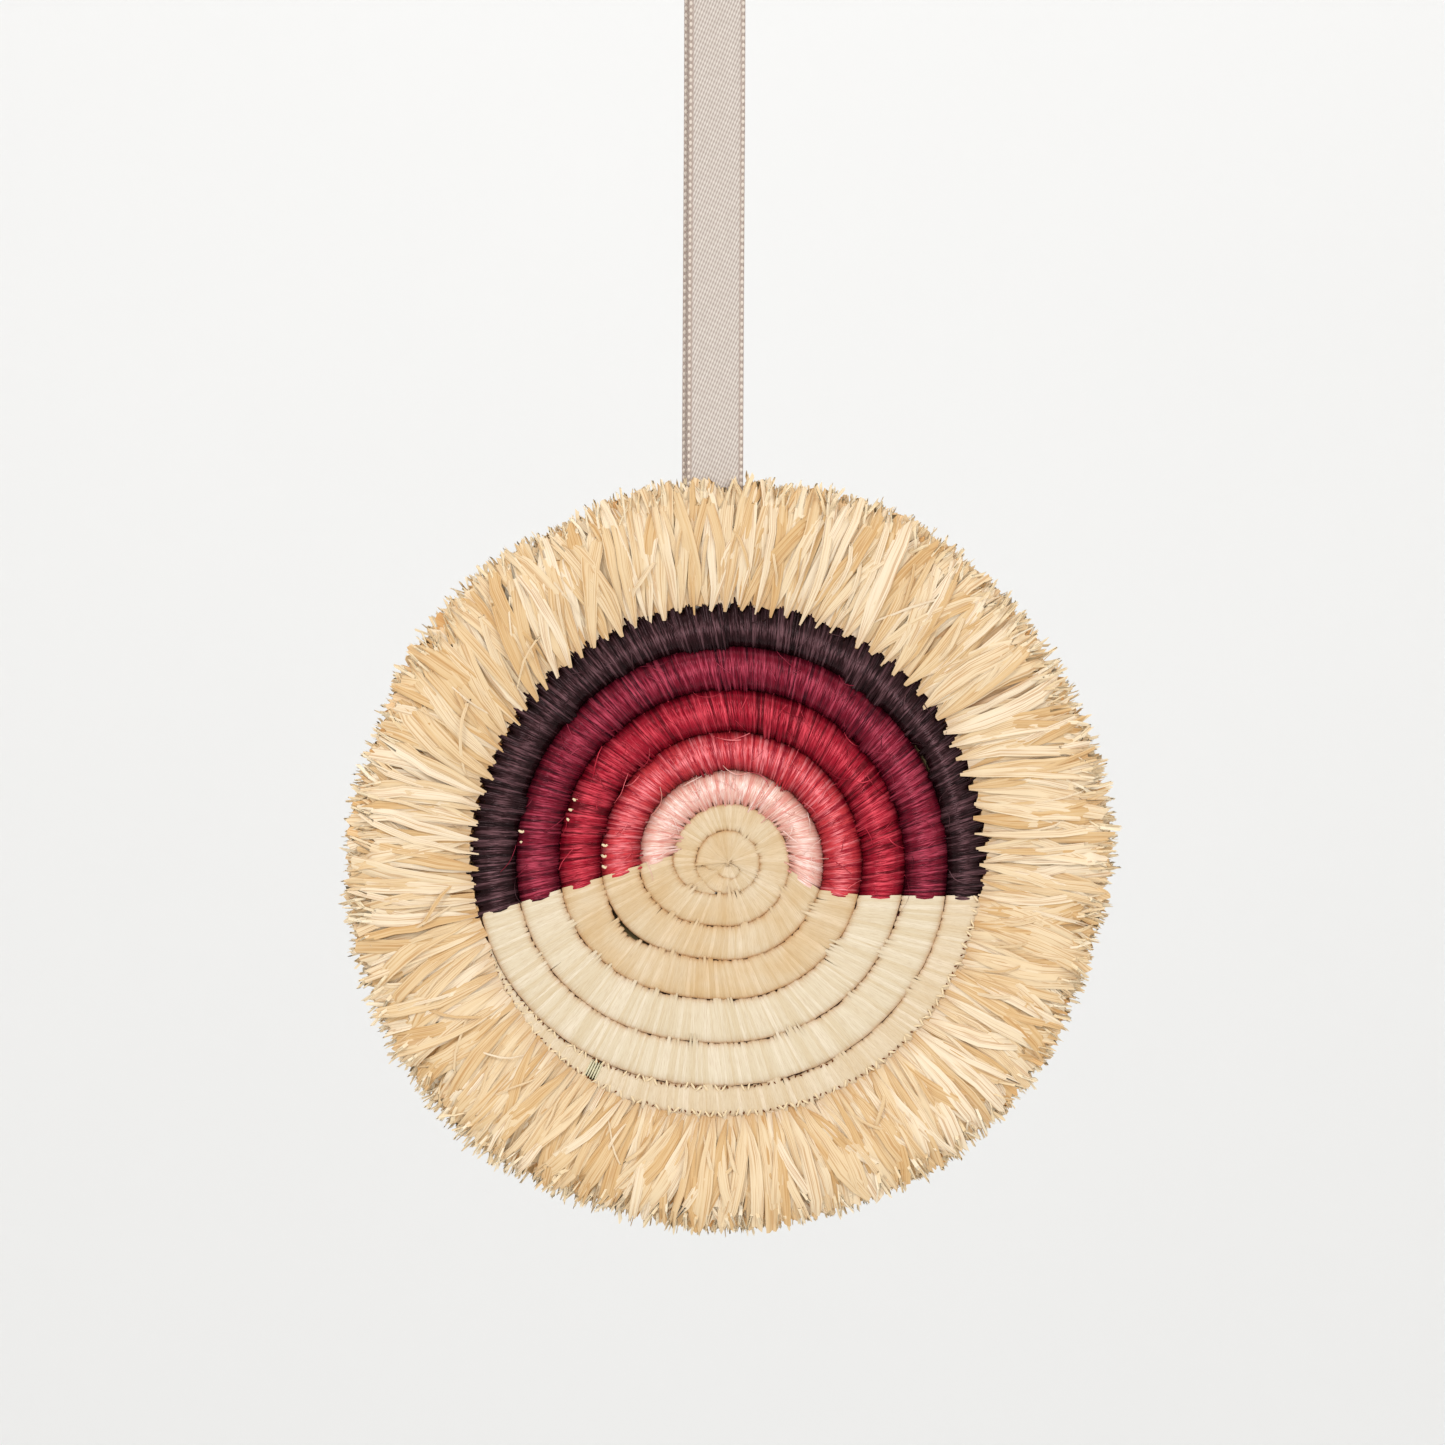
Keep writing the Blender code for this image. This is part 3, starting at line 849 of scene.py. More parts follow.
def bead_tree():
    """Small rounded bodies along a guide: loops of a selvedge, stitches, painted shade in needle holes, and
    stems.
    """
    tree, add, given = new_tree(
        "beads", ("Pitch", "Width", "Length", "Thickness", "Tilt", "Wander", "Kept")
    )
    curve = add("GeometryNodeMeshToCurve", {"Mesh": given["Geometry"]})
    points = add("GeometryNodeResampleCurve", {"Curve": curve, "Length": given["Pitch"]}, mode="LENGTH")
    facing = add("GeometryNodeInputNamedAttribute", {"Name": "facing"}, data_type="FLOAT_VECTOR")
    tangent = add("GeometryNodeInputTangent")
    turned = add("FunctionNodeAxesToRotation", facing, tangent, primary_axis="Z", secondary_axis="Y")
    # Each is tilted the other way from the one before
    index = add("GeometryNodeInputIndex")
    way = add("Math PINGPONG", index, 1.0)
    way = add("Math MULTIPLY_ADD", way, 2.0, -1.0)
    luck = add(
        "FunctionNodeRandomValue", {"Min": 0.3, "Max": 1.0, "Seed": given["Seed"]}, data_type="FLOAT"
    )
    way = add("Math MULTIPLY", way, luck)
    way = add("Math MULTIPLY", way, given["Tilt"])
    spin = add("CombineXYZ", None, None, way)
    spin = add("FunctionNodeEulerToRotation", spin)
    turned = add("FunctionNodeRotateRotation", turned, spin, rotation_space="LOCAL")
    drift = add(
        "FunctionNodeRandomValue",
        {"Min": (-1.0, -0.3, -1.0), "Max": (1.0, 0.3, 1.0), "Seed": given["Seed"]},
        data_type="FLOAT_VECTOR",
    )
    drift = add("VectorMath SCALE", drift, given["Wander"])
    kept = add(
        "FunctionNodeRandomValue", {"Probability": given["Kept"], "Seed": given["Seed"]},
        data_type="BOOLEAN",
    )
    ball = add("GeometryNodeMeshUVSphere", {"Segments": 8, "Rings": 5, "Radius": 0.5})
    size = add("CombineXYZ", given["Width"], given["Length"], given["Thickness"])
    beads = add(
        "GeometryNodeInstanceOnPoints",
        {"Points": points, "Selection": kept, "Instance": ball, "Rotation": turned, "Scale": size},
    )
    beads = add(
        "GeometryNodeTranslateInstances", {"Instances": beads, "Translation": drift, "Local Space": False}
    )
    beads = add("GeometryNodeSetShadeSmooth", {"Geometry": beads, "Shade Smooth": True})
    return end_tree(tree, beads, given["Material"])


def set_curve(node, points):
    """Give a float curve node its points."""
    curve = node.mapping.curves[0]
    for number, (x, y) in enumerate(points):
        if number < 2:
            curve.points[number].location = (x, y)
        else:
            curve.points.new(x, y)
    node.mapping.update()


# Materials


def new_material(name, roughness, **constants):
    """Material, whose constants are set on its shader's own sockets, and what adds its nodes."""
    material = bpy.data.materials.new(name)
    material.use_nodes = True
    shader = material.node_tree.nodes["Principled BSDF"]
    shader.inputs["Roughness"].default_value = roughness
    for label, value in constants.items():
        shader.inputs[label.replace("_", " ")].default_value = value
    return material, partial(add_node, material.node_tree)


def finish_material(material, colour, strength, distance, height):
    """Give a material its colour and its fine relief."""
    tree = material.node_tree
    relief = add_node(tree, "Bump", {"Strength": strength, "Distance": distance, "Height": height})
    shader = tree.nodes["Principled BSDF"]
    tree.links.new(next(s for s in colour.outputs if s.enabled), shader.inputs["Base Color"])
    tree.links.new(relief.outputs[0], shader.inputs["Normal"])
    return material


def raffia(
    name, ramp, dark, fibres, roughness, lines, groove, bump=0.00003, tinted=None, crest=None, crack=None,
    **constants,
):
    """Raffia: dull parallel fibres along each strand, no two strands quite the same colour.

    The ramp gives the colours that strands have by chance, and dark is the colour of the painted
    shade in grooves and at roots, which sets in the later the higher groove is. Fibres is how many
    show across one strand. Lines is the colour of the hairlines between them and how much of
    it shows, and crest the same for a painted sheen on the crests. Tinted holds the colours that
    peachy and greenish rows are multiplied by, and crack is the colour of the painted shade deep
    between rows, partly the dark core that shows there.
    """
    material, add = new_material(name, roughness, **constants)
    labels = ("across", "along", "tone", "edge", "tint")
    read = {label: add("Attribute", attribute_name=label).outputs["Fac"] for label in labels}
    place = add("TexCoord").outputs["Object"]
    apart = add("Math MULTIPLY", read["tone"], 61.0)
    crosswise = add("Math MULTIPLY_ADD", read["across"], fibres, apart)
    spot = add("CombineXYZ", crosswise, read["along"], apart)
    fine = add("TexNoise", {"Vector": spot, "Scale": 1.0, "Detail": 3.0, "Roughness": 0.6})
    broad = add("TexNoise", {"Vector": place, "Scale": 260.0, "Detail": 2.0})
    chance = add("Math MULTIPLY_ADD", fine, 0.9, -0.45)
    chance = add("Math ADD", chance, read["tone"])
    palette = add("ValToRGB", chance)
    stops = palette.color_ramp.elements
    for number, (share, colour) in enumerate(ramp):
        stop = stops[number] if number < 2 else stops.new(share)
        stop.position = share
        stop.color = (*colour, 1.0)
    # Colours laid over the palette one after another: how much of each, and how it is mixed in
    layers = []
    if tinted:
        for side, target in zip((1.1, -1.1), tinted):
            amount = add("Math MULTIPLY", read["tint"], side)
            amount = add("Math MULTIPLY", amount, broad, use_clamp=True)
            layers.append((amount, target, "MULTIPLY"))
    # Hairlines between fibres
    line_colour, line_share = lines
    thin = add("VectorMath MULTIPLY", spot, (2.3, 2.0, 1.0))
    thin = add("TexNoise", {"Vector": thin, "Scale": 1.0, "Detail": 1.0})
    thin = add("MapRange", thin, 0.52, 0.32, None, line_share, interpolation_type="SMOOTHSTEP")
    layers.append((thin, line_colour, "MIX"))
    # Painted sheen: lighter fibres on the crest of a row, fading towards the grooves
    if crest:
        painted_sheen = add("MapRange", read["edge"], 0.55, 0.0, interpolation_type="SMOOTHSTEP")
        glint = add("MapRange", fine, 0.45, 0.66, interpolation_type="SMOOTHSTEP")
        painted_sheen = add("Math MULTIPLY", painted_sheen, glint)
        painted_sheen = add("Math MULTIPLY", painted_sheen, crest[1])
        layers.append((painted_sheen, crest[0], "MIX"))
    # Painted shade towards the grooves of a row, and from a fringe blade's root outwards
    depth = add("Math POWER", read["edge"], groove)
    patchy = add("MapRange", broad, 0.3, 0.6, 0.6, 1.0)
    depth = add("Math MULTIPLY", depth, patchy)
    layers.append((depth, dark, "MIX"))
    # Painted shade in the crack deep between rows, partly the dark core that shows there
    if crack:
        deep = add("Math MULTIPLY_ADD", broad, 0.16, read["edge"])
        deep = add("MapRange", deep, 0.99, 1.02, interpolation_type="SMOOTHSTEP")
        deep = add("Math MULTIPLY", deep, patchy)
        layers.append((deep, crack, "MIX"))
    colour = palette
    for amount, target, blend in layers:
        given = {"Factor": amount, "A": colour, "B": (*target, 1.0)}
        colour = add("Mix", given, data_type="RGBA", blend_type=blend)
    return finish_material(material, colour, 1.0, bump, fine)


def satin_material():
    """Woven satin: fine slanting floats between plainer margins, with a soft gloss."""
    material, add = new_material("satin ribbon, woven polyester", 0.42)
    place = add("UVMap", uv_map="weave")
    # Two crossing sets of bands in millimetres, the steep one stronger
    bands = []
    for angle, pitch, wobble in ((22.0, 0.36, 0.5), (118.0, 0.62, 0.8)):
        turned = add("Mapping", {"Vector": place, "Rotation": (0.0, 0.0, math.radians(angle))})
        wave = add(
            "TexWave",
            {"Vector": turned, "Scale": math.pi / 10.0 / pitch, "Distortion": wobble, "Detail Scale": 2.0},
            wave_type="BANDS", bands_direction="X",
        )
        bands.append(wave.outputs[1])
    floats = add("Math MULTIPLY_ADD", bands[1], 0.45, bands[0])
    floats = add("MapRange", floats, 0.1, 1.25, interpolation_type="SMOOTHSTEP")
    mottle = add("TexNoise", {"Vector": place, "Scale": 0.9, "Detail": 3.0})
    amount = add("Math MULTIPLY_ADD", mottle, 0.5, 0.5)
    amount = add("Math MULTIPLY", floats, amount)
    colour = add(
        "Mix", {"Factor": amount, "A": (*linear("#a2938a"), 1.0), "B": (*linear("#dbd3cb"), 1.0)},
        data_type="RGBA",
    )
    # The margin under the selvedge's loops is painted darker, as shade under the loops
    aside = add("SeparateXYZ", place)
    aside = add("Math ABSOLUTE", aside)
    margin = 500.0 * RIBBON_WIDTH  # half the width in millimetres
    aside = add("MapRange", aside, margin - 0.75, margin - 0.6, None, 0.75)
    colour = add("Mix", {"Factor": aside, "A": colour, "B": (*linear("#9c887d"), 1.0)}, data_type="RGBA")
    return finish_material(material, colour, 0.8, 0.00005, floats)


def plain_material(name, low, high, roughness, scale, **constants):
    """Matt surface whose colour drifts a little from place to place."""
    material, add = new_material(name, roughness, **constants)
    place = add("TexCoord").outputs["Object"]
    drift = add("TexNoise", {"Vector": place, "Scale": scale, "Detail": 3.0})
    colour = add(
        "Mix", {"Factor": drift, "A": (*linear(low), 1.0), "B": (*linear(high), 1.0)}, data_type="RGBA"
    )
    return finish_material(material, colour, 0.3, 0.00005, drift)


# Settings that a user would change


class OrnamentCoil(bpy.types.PropertyGroup):
    """Sizes of the wrapped strands."""

    natural_pitch: FloatProperty(
        name="Natural pitch", description="Spacing of natural strands along a row",
        default=0.00036, unit="LENGTH",
    )
    dyed_pitch: FloatProperty(
        name="Dyed pitch", description="Spacing of dyed strands along a row",
        default=0.00027, unit="LENGTH",
    )
    strand_thickness: FloatProperty(
        name="Strand thickness", description="How proud the middle of a strand stands",
        default=0.00013, unit="LENGTH",
    )
    catch_length: FloatProperty(
        name="Catch length", description="How far a caught stitch reaches into the next row",
        default=0.0012, unit="LENGTH",
    )


class OrnamentFringe(bpy.types.PropertyGroup):
    """Sizes of the fringe."""

    length: FloatProperty(
        name="Length", description="Length of a front blade", default=0.0172, unit="LENGTH"
    )
    widest: FloatProperty(
        name="Widest blade", description="Width of the widest blade", default=0.0023, unit="LENGTH"
    )
    blades: IntProperty(name="Blades", description="Front blades in one tuft", default=5, min=1)


class OrnamentRibbon(bpy.types.PropertyGroup):
    """Sizes of the ribbon."""

    bead_pitch: FloatProperty(
        name="Bead pitch", description="Spacing of the selvedge's loops", default=0.0009, unit="LENGTH"
    )
    bead_width: FloatProperty(
        name="Bead width", description="Width of a selvedge loop", default=0.0005, unit="LENGTH"
    )


class OrnamentColours(bpy.types.PropertyGroup):
    """Colours of the raffia."""

    natural: FloatVectorProperty(
        name="Natural", description="Undyed raffia", subtype="COLOR", default=linear("#d5c4a7")
    )
    pink: FloatVectorProperty(
        name="Pink", description="Innermost dye", subtype="COLOR", default=linear("#e3b8a9")
    )
    coral: FloatVectorProperty(
        name="Coral", description="Second dye", subtype="COLOR", default=linear("#c9383f")
    )
    crimson: FloatVectorProperty(
        name="Crimson", description="Third dye", subtype="COLOR", default=linear("#981428")
    )
    burgundy: FloatVectorProperty(
        name="Burgundy", description="Fourth dye", subtype="COLOR", default=linear("#701024")
    )
    plum: FloatVectorProperty(
        name="Plum", description="Outermost dye", subtype="COLOR", default=linear("#261215")
    )


GROUPS = {
    "ornament_coil": OrnamentCoil,
    "ornament_fringe": OrnamentFringe,
    "ornament_ribbon": OrnamentRibbon,
    "ornament_colours": OrnamentColours,
}


def mixed(colour, other, share):
    """Colour part of the way to another."""
    return tuple(a + (b - a) * share for a, b in zip(colour, other))


def wrap_values(coil, blank, material, pitch, seed, **changes):
    """Inputs of the wrapping tree for one row."""
    values = {
        "Blank": blank,
        "Pitch": pitch,
        "Strand Width": pitch * STRAND_BREADTH,
        "Thickness": coil.strand_thickness,
        "Slant": pitch * STRAND_SLANT,
        "Unevenness": 0.00005,
        "Inner Catch": 0.0,
        "Outer Catch": 0.0,
        "Catch Point": 0.7,
        "Catch Evenness": 0.0,
        "Catch Height": 0.93,
        "Seed": seed,
        "Material": material,
    }
    values.update(changes)
    return values


class ORNAMENT_OT_core(bpy.types.Operator):
    """Rope of grass that the raffia is wrapped round, hidden but for its grooves, coloured dark as painted
    shade there
    """

    bl_idname = "ornament.core"
    bl_label = "Grass core"

    def execute(self, context):
        # Darker than the bare stems of the same grass: painted shade where the core shows between strands
        material = plain_material("sweetgrass core, dried and coiled", "#5a4426", "#8f8458", 0.8, 900.0)
        bm = bmesh.new()
        sides, wider, flatter = 10, 1.04, 0.72  # of the rope's section, and its shares of a row's
        first, last = STEPS + 5, LAST_STEP - 1
        rings = []
        for number in range(2 * (last - first) + 1):
            step = first + number / 2.0
            inner, outer = groove_radius(step - STEPS), groove_radius(step)
            middle, half = (inner + outer) / 2.0, (outer - inner) / 2.0
            angle = step_angle(step, middle)
            ring = []
            for side in range(sides):
                turned = 2.0 * math.pi * side / sides
                radius = middle + wider * half * math.cos(turned)
                depth = flatter * crest_half(2.0 * half) * math.sin(turned)
                ring.append(bm.verts.new(front_point(radius, angle, depth)))
            rings.append(ring)
        for before, after in zip(rings, rings[1:]):
            for side in range(sides):
                far = (side + 1) % sides
                bm.faces.new([before[side], after[side], after[far], before[far]])
        bm.faces.new(rings[0])
        bm.faces.new(rings[-1])
        bmesh.ops.recalc_face_normals(bm, faces=bm.faces[:])
        settle(solid_object("grass_core", bm, material), "natural_raffia", "natural_coil")
        return {"FINISHED"}


class ORNAMENT_OT_natural(bpy.types.Operator):
    """Knot, inner rows and lower half rows, wrapped in undyed raffia"""

    bl_idname = "ornament.natural"
    bl_label = "Natural raffia"

    def execute(self, context):
        coil, colours = context.scene.ornament_coil, context.scene.ornament_colours
        base = tuple(colours.natural)
        material = raffia(
            "natural raffia, dried and wrapped",
            ((0.0, linear("#d2bf9f")), (0.3, base), (0.75, linear("#dacbb1")), (1.0, linear("#e1d3bc"))),
            # Painted shade in the grooves
            linear("#b8742f"),
            fibres=5.0,
            roughness=0.6,
            tinted=(linear("#ecd2a8"), linear("#f4f8f2")),
            bump=0.00002,
            groove=9.0,
            lines=(linear("#ac8a60"), 0.3),
            # Painted shade deep between rows, partly the dark core that shows there
            crack=linear("#3a1a06"),
        )
        tree = wrap_tree()
        blank = band_blank(sections=18, squareness=5.0)
        lines = [
            wrap_line(0, STEPS, 1, lambda step: (knot_edge(step), KNOT_RADIUS)),
            wrap_line(0, STEPS, 8, lambda step: (0.0002, knot_edge(step))),
            wrap_line(STEPS, FIRST_DYED_TURN * STEPS + LEFT_STEP, 2),
        ]
        for turn in range(FIRST_DYED_TURN, RIM_TURN):
            lines.append(wrap_line(turn * STEPS + RIGHT_STEP, (turn + 1) * STEPS + LEFT_STEP, turn + 3))
        bare_start, bare_end = BARE_STEPS
        rim_start = RIM_TURN * STEPS + RIGHT_STEP
        for start, end, seed in ((rim_start, bare_start, 9), (bare_end, LAST_STEP, 10)):
            lines.append(wrap_line(start, end, seed, teeth=RIM_STITCHES, parts=RIM_PARTS))
        guide = line_object("natural_guide", lines)
        values = wrap_values(
            coil, blank, material, coil.natural_pitch, 11,
            **{
                "Inner Catch": coil.catch_length,
                "Outer Catch": 0.0007,
                "Catch Evenness": 0.15,
                "Catch Height": 1.04,
                "Thickness": 0.00005,
                "Unevenness": 0.00003,
            },
        )
        settle(grow("natural_wrap", guide, tree, values), "natural_raffia", "natural_coil")
        remove_guides(guide, blank)
        # Sewing along the rim over dark beads that paint the shade in small needle holes,
        # and grass stems where the strands have parted
        hole_shade, stitch, stem = (
            plain_material(name, low, high, roughness, 900.0, Specular_IOR_Level=level)
            for name, low, high, roughness, level in (
                ("needle holes, shaded", "#4a2008", "#80461a", 0.9, 0.1),
                ("natural raffia, split and sewn", "#dcc39a", "#ebd9b8", 0.6, 0.2),
                ("sweetgrass stems, dried", "#ccc5a4", "#e2dcc0", 0.7, 0.2),
            )
        )
        outer = (rim_start, LAST_STEP, False)
        inner = ((RIM_TURN + 1) * STEPS, LAST_STEP - 2, True)
        inner_right = (rim_start + 7, rim_start + 10, True)
        bare = (bare_start + 0.05, bare_end - 0.03, None)
        flecks = []
        for right, up in FLECKS:
            place = COIL_MIDDLE + Vector((0.001 * right, -FLECK_FRONT, 0.001 * up))
            ends = (place, place + Vector((FLECK_LENGTH, 0.0, 0.0)))
            flecks.append([{"place": end, "facing": FORWARD} for end in ends])
        # Piece, material, its edges or guide lines, share of the crest's height, and then its pitch,
        # width, length, thickness, tilt, wander and how many are kept
        labels = ("Pitch", "Width", "Length", "Thickness", "Tilt", "Wander", "Kept")
        for name, material, edges, height, *sizes in (
            # Dark beads that paint the shade in the needle holes
            ("rim_holes", hole_shade, (outer, inner, inner_right), 0.99,
             0.00085, 0.00044, 0.0002, 0.00026, 0.9, 0.00012, 0.88),
            ("rim_stitches", stitch, (outer, inner), 1.02,
             0.0008, 0.0011, 0.0003, 0.0002, 0.9, 0.00012, 0.65),
            ("bare_stems", stem, (bare,), 1.0, 0.00033, 0.0028, 0.0003, 0.0008, 0.0, 0.0, 1.0),
            ("groove_flecks", stitch, (), 1.0, 0.0005, 0.0004, 0.0007, 0.0003, 0.8, 0.0, 1.0),
        ):
            lines = [edge_line(*edge, side * height) for edge in edges for side in (1.0, -1.0)]
            guide = line_object(f"{name}_guide", lines or flecks)
            values = {**dict(zip(labels, sizes)), "Seed": 7, "Material": material}
            settle(grow(name, guide, bead_tree(), values), "natural_raffia", "natural_coil")
            remove_guides(guide)
        return {"FINISHED"}


class ORNAMENT_OT_dyed(bpy.types.Operator):
    """Five half rows of fine dyed raffia"""

    bl_idname = "ornament.dyed"
    bl_label = "Dyed raffia"

    def execute(self, context):
        coil, colours = context.scene.ornament_coil, context.scene.ornament_colours
        tree, fibre_tree = wrap_tree(), blade_tree()
        blank, profile = band_blank(sections=20, squareness=2.5), blade_profile()
        fibres = {
            "Profile": profile, "Tufts": 22, "Blades": 1, "Joints": 9, "Length": 0.0042,
            "Length Spread": 0.0016, "Narrowest": 0.00007, "Widest": 0.00016, "Root Width": 0.8,
            "Fan": 0.0, "Gather": 0.0, "Root Spread": 1.0, "Lean Spread": math.radians(100.0),
            "Bend": math.radians(50.0), "Twist": math.radians(60.0), "Lowest": 0.97, "Highest": 1.05,
            "Belly": CREST_THICKNESS / 2.0 + BELLY_GAP, "Frayed": 0.0, "Crumple": 0.0012, "Clumps": 0.0,
            "Root Shade": 0.0, "Shade End": 1.0, "Pocket": 0.0,
        }
        # Painted sheen on the crest, darkest strands and painted shade between strands, and painted shade
        # in the grooves
        looks = (
            ("pink", "#fdeae4", "#d88c80", "#a86858"),
            ("coral", "#f8949a", "#8e1024", "#3a060c"),
            ("crimson", "#e4505f", "#540612", "#1c0206"),
            ("burgundy", "#c04a60", "#340814", "#140408"),
            ("plum", "#7a565c", "#120708", "#080304"),
        )
        for turn, (name, light, deep, groove) in enumerate(looks, start=FIRST_DYED_TURN):
            base = tuple(getattr(colours, name))
            material = raffia(
                f"{name} raffia, dyed and wrapped",
                ((0.0, linear(deep)), (0.4, base), (0.65, base), (1.0, mixed(base, linear(light), 0.6))),
                linear(groove),
                fibres=2.0,
                roughness=0.21,
                bump=0.00005,
                groove=2.4,
                crest=(linear(light), 0.7),
                lines=(linear(deep), 0.85),
                IOR=1.55,
                Specular_Tint=(*mixed(linear(light), (1.0, 1.0, 1.0), 0.1), 1.0),
            )
            rim, pink = name == "plum", name == "pink"
            ends = (turn * STEPS + LEFT_STEP, turn * STEPS + RIGHT_STEP)
            line = wrap_line(
                *ends, 20 + turn, teeth=TUFTS if rim else 0, parts=PLUM_PARTS if rim else STEP_PARTS,
                caught=0.6 if pink else 0.2,
            )
            guide = line_object(f"{name}_guide", [line])
            values = wrap_values(
                coil, blank, material, coil.dyed_pitch, 31 + 10 * turn,
                **{
                    "Inner Catch": 0.0015 if pink else 0.0009,
                    "Catch Height": 1.08 if pink else 0.93,
                    "Unevenness": 0.00008,
                    "Outer Catch": 0.0028 if rim else 0.0,
                    "Catch Evenness": 0.7 if rim else 0.0,
                },
            )
            # Loose fibres that cross the row
            stray_guide = line_object(f"{name}_stray_guide", stray_lines(*ends))
            stray_values = {**fibres, "Material": material, "Seed": 70 + turn}
            for piece in (
                grow(f"{name}_wrap", guide, tree, values),
                grow(f"{name}_strays", stray_guide, fibre_tree, stray_values),
            ):
                settle(piece, f"{name}_raffia", f"{name}_row")
            remove_guides(guide, stray_guide)
        remove_guides(blank, profile)
        return {"FINISHED"}


class ORNAMENT_OT_fringe(bpy.types.Operator):
    """Layers of cut raffia blades sewn round the rim in tufts"""

    bl_idname = "ornament.fringe"
    bl_label = "Raffia fringe"

    def execute(self, context):
        fringe = context.scene.ornament_fringe
        looks = {}
        # Looks: the first for the outer blades, the second a darker, more orange copy for the deep layers
        # as painted shade, the third a lighter copy for the tips and the packed ring as painted light; then
        # the colour of the hairlines and their share. The dark colour below paints the shade from the
        # roots.
        for name, colours, dark, lines in (
            ("pale", ("#d2ae7c", "#dfc49b", "#e5d0ae", "#ebdabf"), "#b07838", 0.55),
            ("warm", ("#d29c60", "#deb67f", "#e6c89f", "#ebd6b3"), "#b06c2c", 0.5),
            ("light", ("#e6cda4", "#ecd9b6", "#f0e0c2", "#f3e7cf"), "#c8965c", 0.3),
        ):
            ramp = [(share, linear(colour)) for share, colour in zip((0.0, 0.35, 0.75, 1.0), colours)]
            looks[name] = raffia(
                f"{name} fringe raffia, dried and cut", ramp, linear("#9c5c22"), fibres=6.0, roughness=0.6,
                lines=(linear(dark), lines), groove=1.0, Specular_IOR_Level=0.2,
            )
        tree, profile = blade_tree(), blade_profile()
        outer_guide = fringe_guide("outer_guide", *OUTER_ROOTS)
        inner_guide = fringe_guide("inner_guide", *INNER_ROOTS)
        stray_guide = fringe_guide("stray_guide", *STRAY_ROOTS)
        tip_guide = fringe_guide("tip_guide", *TIP_ROOTS, at_tips=True)
        # Root Shade and Shade End set the painted shade from each blade's root
        common = {
            "Profile": profile, "Tufts": TUFTS, "Joints": 7, "Length Spread": 0.0009, "Narrowest": 0.0007,
            "Widest": fringe.widest, "Lean Spread": math.radians(11.0), "Bend": math.radians(17.0),
            "Twist": math.radians(14.0), "Belly": FRINGE_DEPTH - BELLY_GAP, "Frayed": 0.0012,
            "Crumple": 0.0010, "Clumps": math.radians(66.0), "Root Shade": 0.25, "Shade End": 0.08,
        }
        outer = {"Root Width": 0.22, "Fan": 0.0018, "Gather": 0.0042, "Root Spread": 0.5, "Pocket": 0.0}
        inner = {"Root Width": 1.0, "Fan": 0.0022, "Gather": 0.0, "Root Spread": 1.0, "Pocket": 0.0}
        # Deep layers have painted shade over most of their length
        deep = {**inner, "Pocket": 0.5, "Root Shade": 1.0, "Shade End": 0.75, "Clumps": math.radians(25.0)}
        hair = {
            **outer, "Narrowest": 0.00012, "Widest": 0.00035, "Crumple": 0.0016, "Bend": math.radians(28.0),
        }
        tips = {
            **inner, "Narrowest": 0.00014, "Widest": 0.0005, "Crumple": 0.0009, "Joints": 4,
            "Root Width": 0.05, "Lean Spread": math.radians(30.0), "Bend": math.radians(18.0),
            "Frayed": 0.0006, "Root Shade": 0.0,
        }
        stray = {
            **outer, "Narrowest": 0.0002, "Widest": 0.0006, "Lean Spread": math.radians(44.0),
            "Length Spread": 0.003, "Tufts": 70, "Bend": math.radians(30.0), "Gather": 0.0,
        }
        middle = {**deep, "Shade End": 0.6}
        pale, warm, light = looks["pale"], looks["warm"], looks["light"]
        length = fringe.length
        # Piece, guide, material, blades in a tuft, depths from -1 on the back to 1, length and shape
        layers = (
            ("fringe_front", outer_guide, pale, fringe.blades, 0.86, 1.0, length, outer),
            ("fringe_front_second", inner_guide, pale, 4, 0.74, 0.88, length - 0.0003, inner),
            ("fringe_front_inner", inner_guide, warm, 5, 0.46, 0.74, length - 0.0006, deep),
            ("fringe_middle", inner_guide, pale, 6, -0.44, 0.44, length - 0.0003, middle),
            ("fringe_back_inner", inner_guide, warm, 5, -0.74, -0.46, length - 0.0006, deep),
            ("fringe_back_second", inner_guide, pale, 4, -0.74, -0.88, length - 0.0003, inner),
            ("fringe_back", outer_guide, pale, fringe.blades, -0.86, -1.0, length, outer),
            ("fringe_hairs", outer_guide, pale, 2, -1.0, 1.03, length, hair),
            ("fringe_strays", stray_guide, pale, 1, 0.98, 1.04, length - 0.0036, stray),
            ("fringe_tips", tip_guide, light, 16, -1.0, 1.0, 0.0055, tips),
        )
        for number, (name, guide, material, blades, lowest, highest, reach, shape) in enumerate(layers):
            values = {
                **common, **shape, "Blades": blades, "Length": reach, "Lowest": lowest, "Highest": highest,
                "Seed": 4000 + 20 * number, "Material": material,
            }
            settle(grow(name, guide, tree, values), "fringe_raffia", "raffia_fringe")
        remove_guides(outer_guide, inner_guide, stray_guide, tip_guide, profile)
        settle(packed_blades(light), "fringe_raffia", "raffia_fringe")
        return {"FINISHED"}


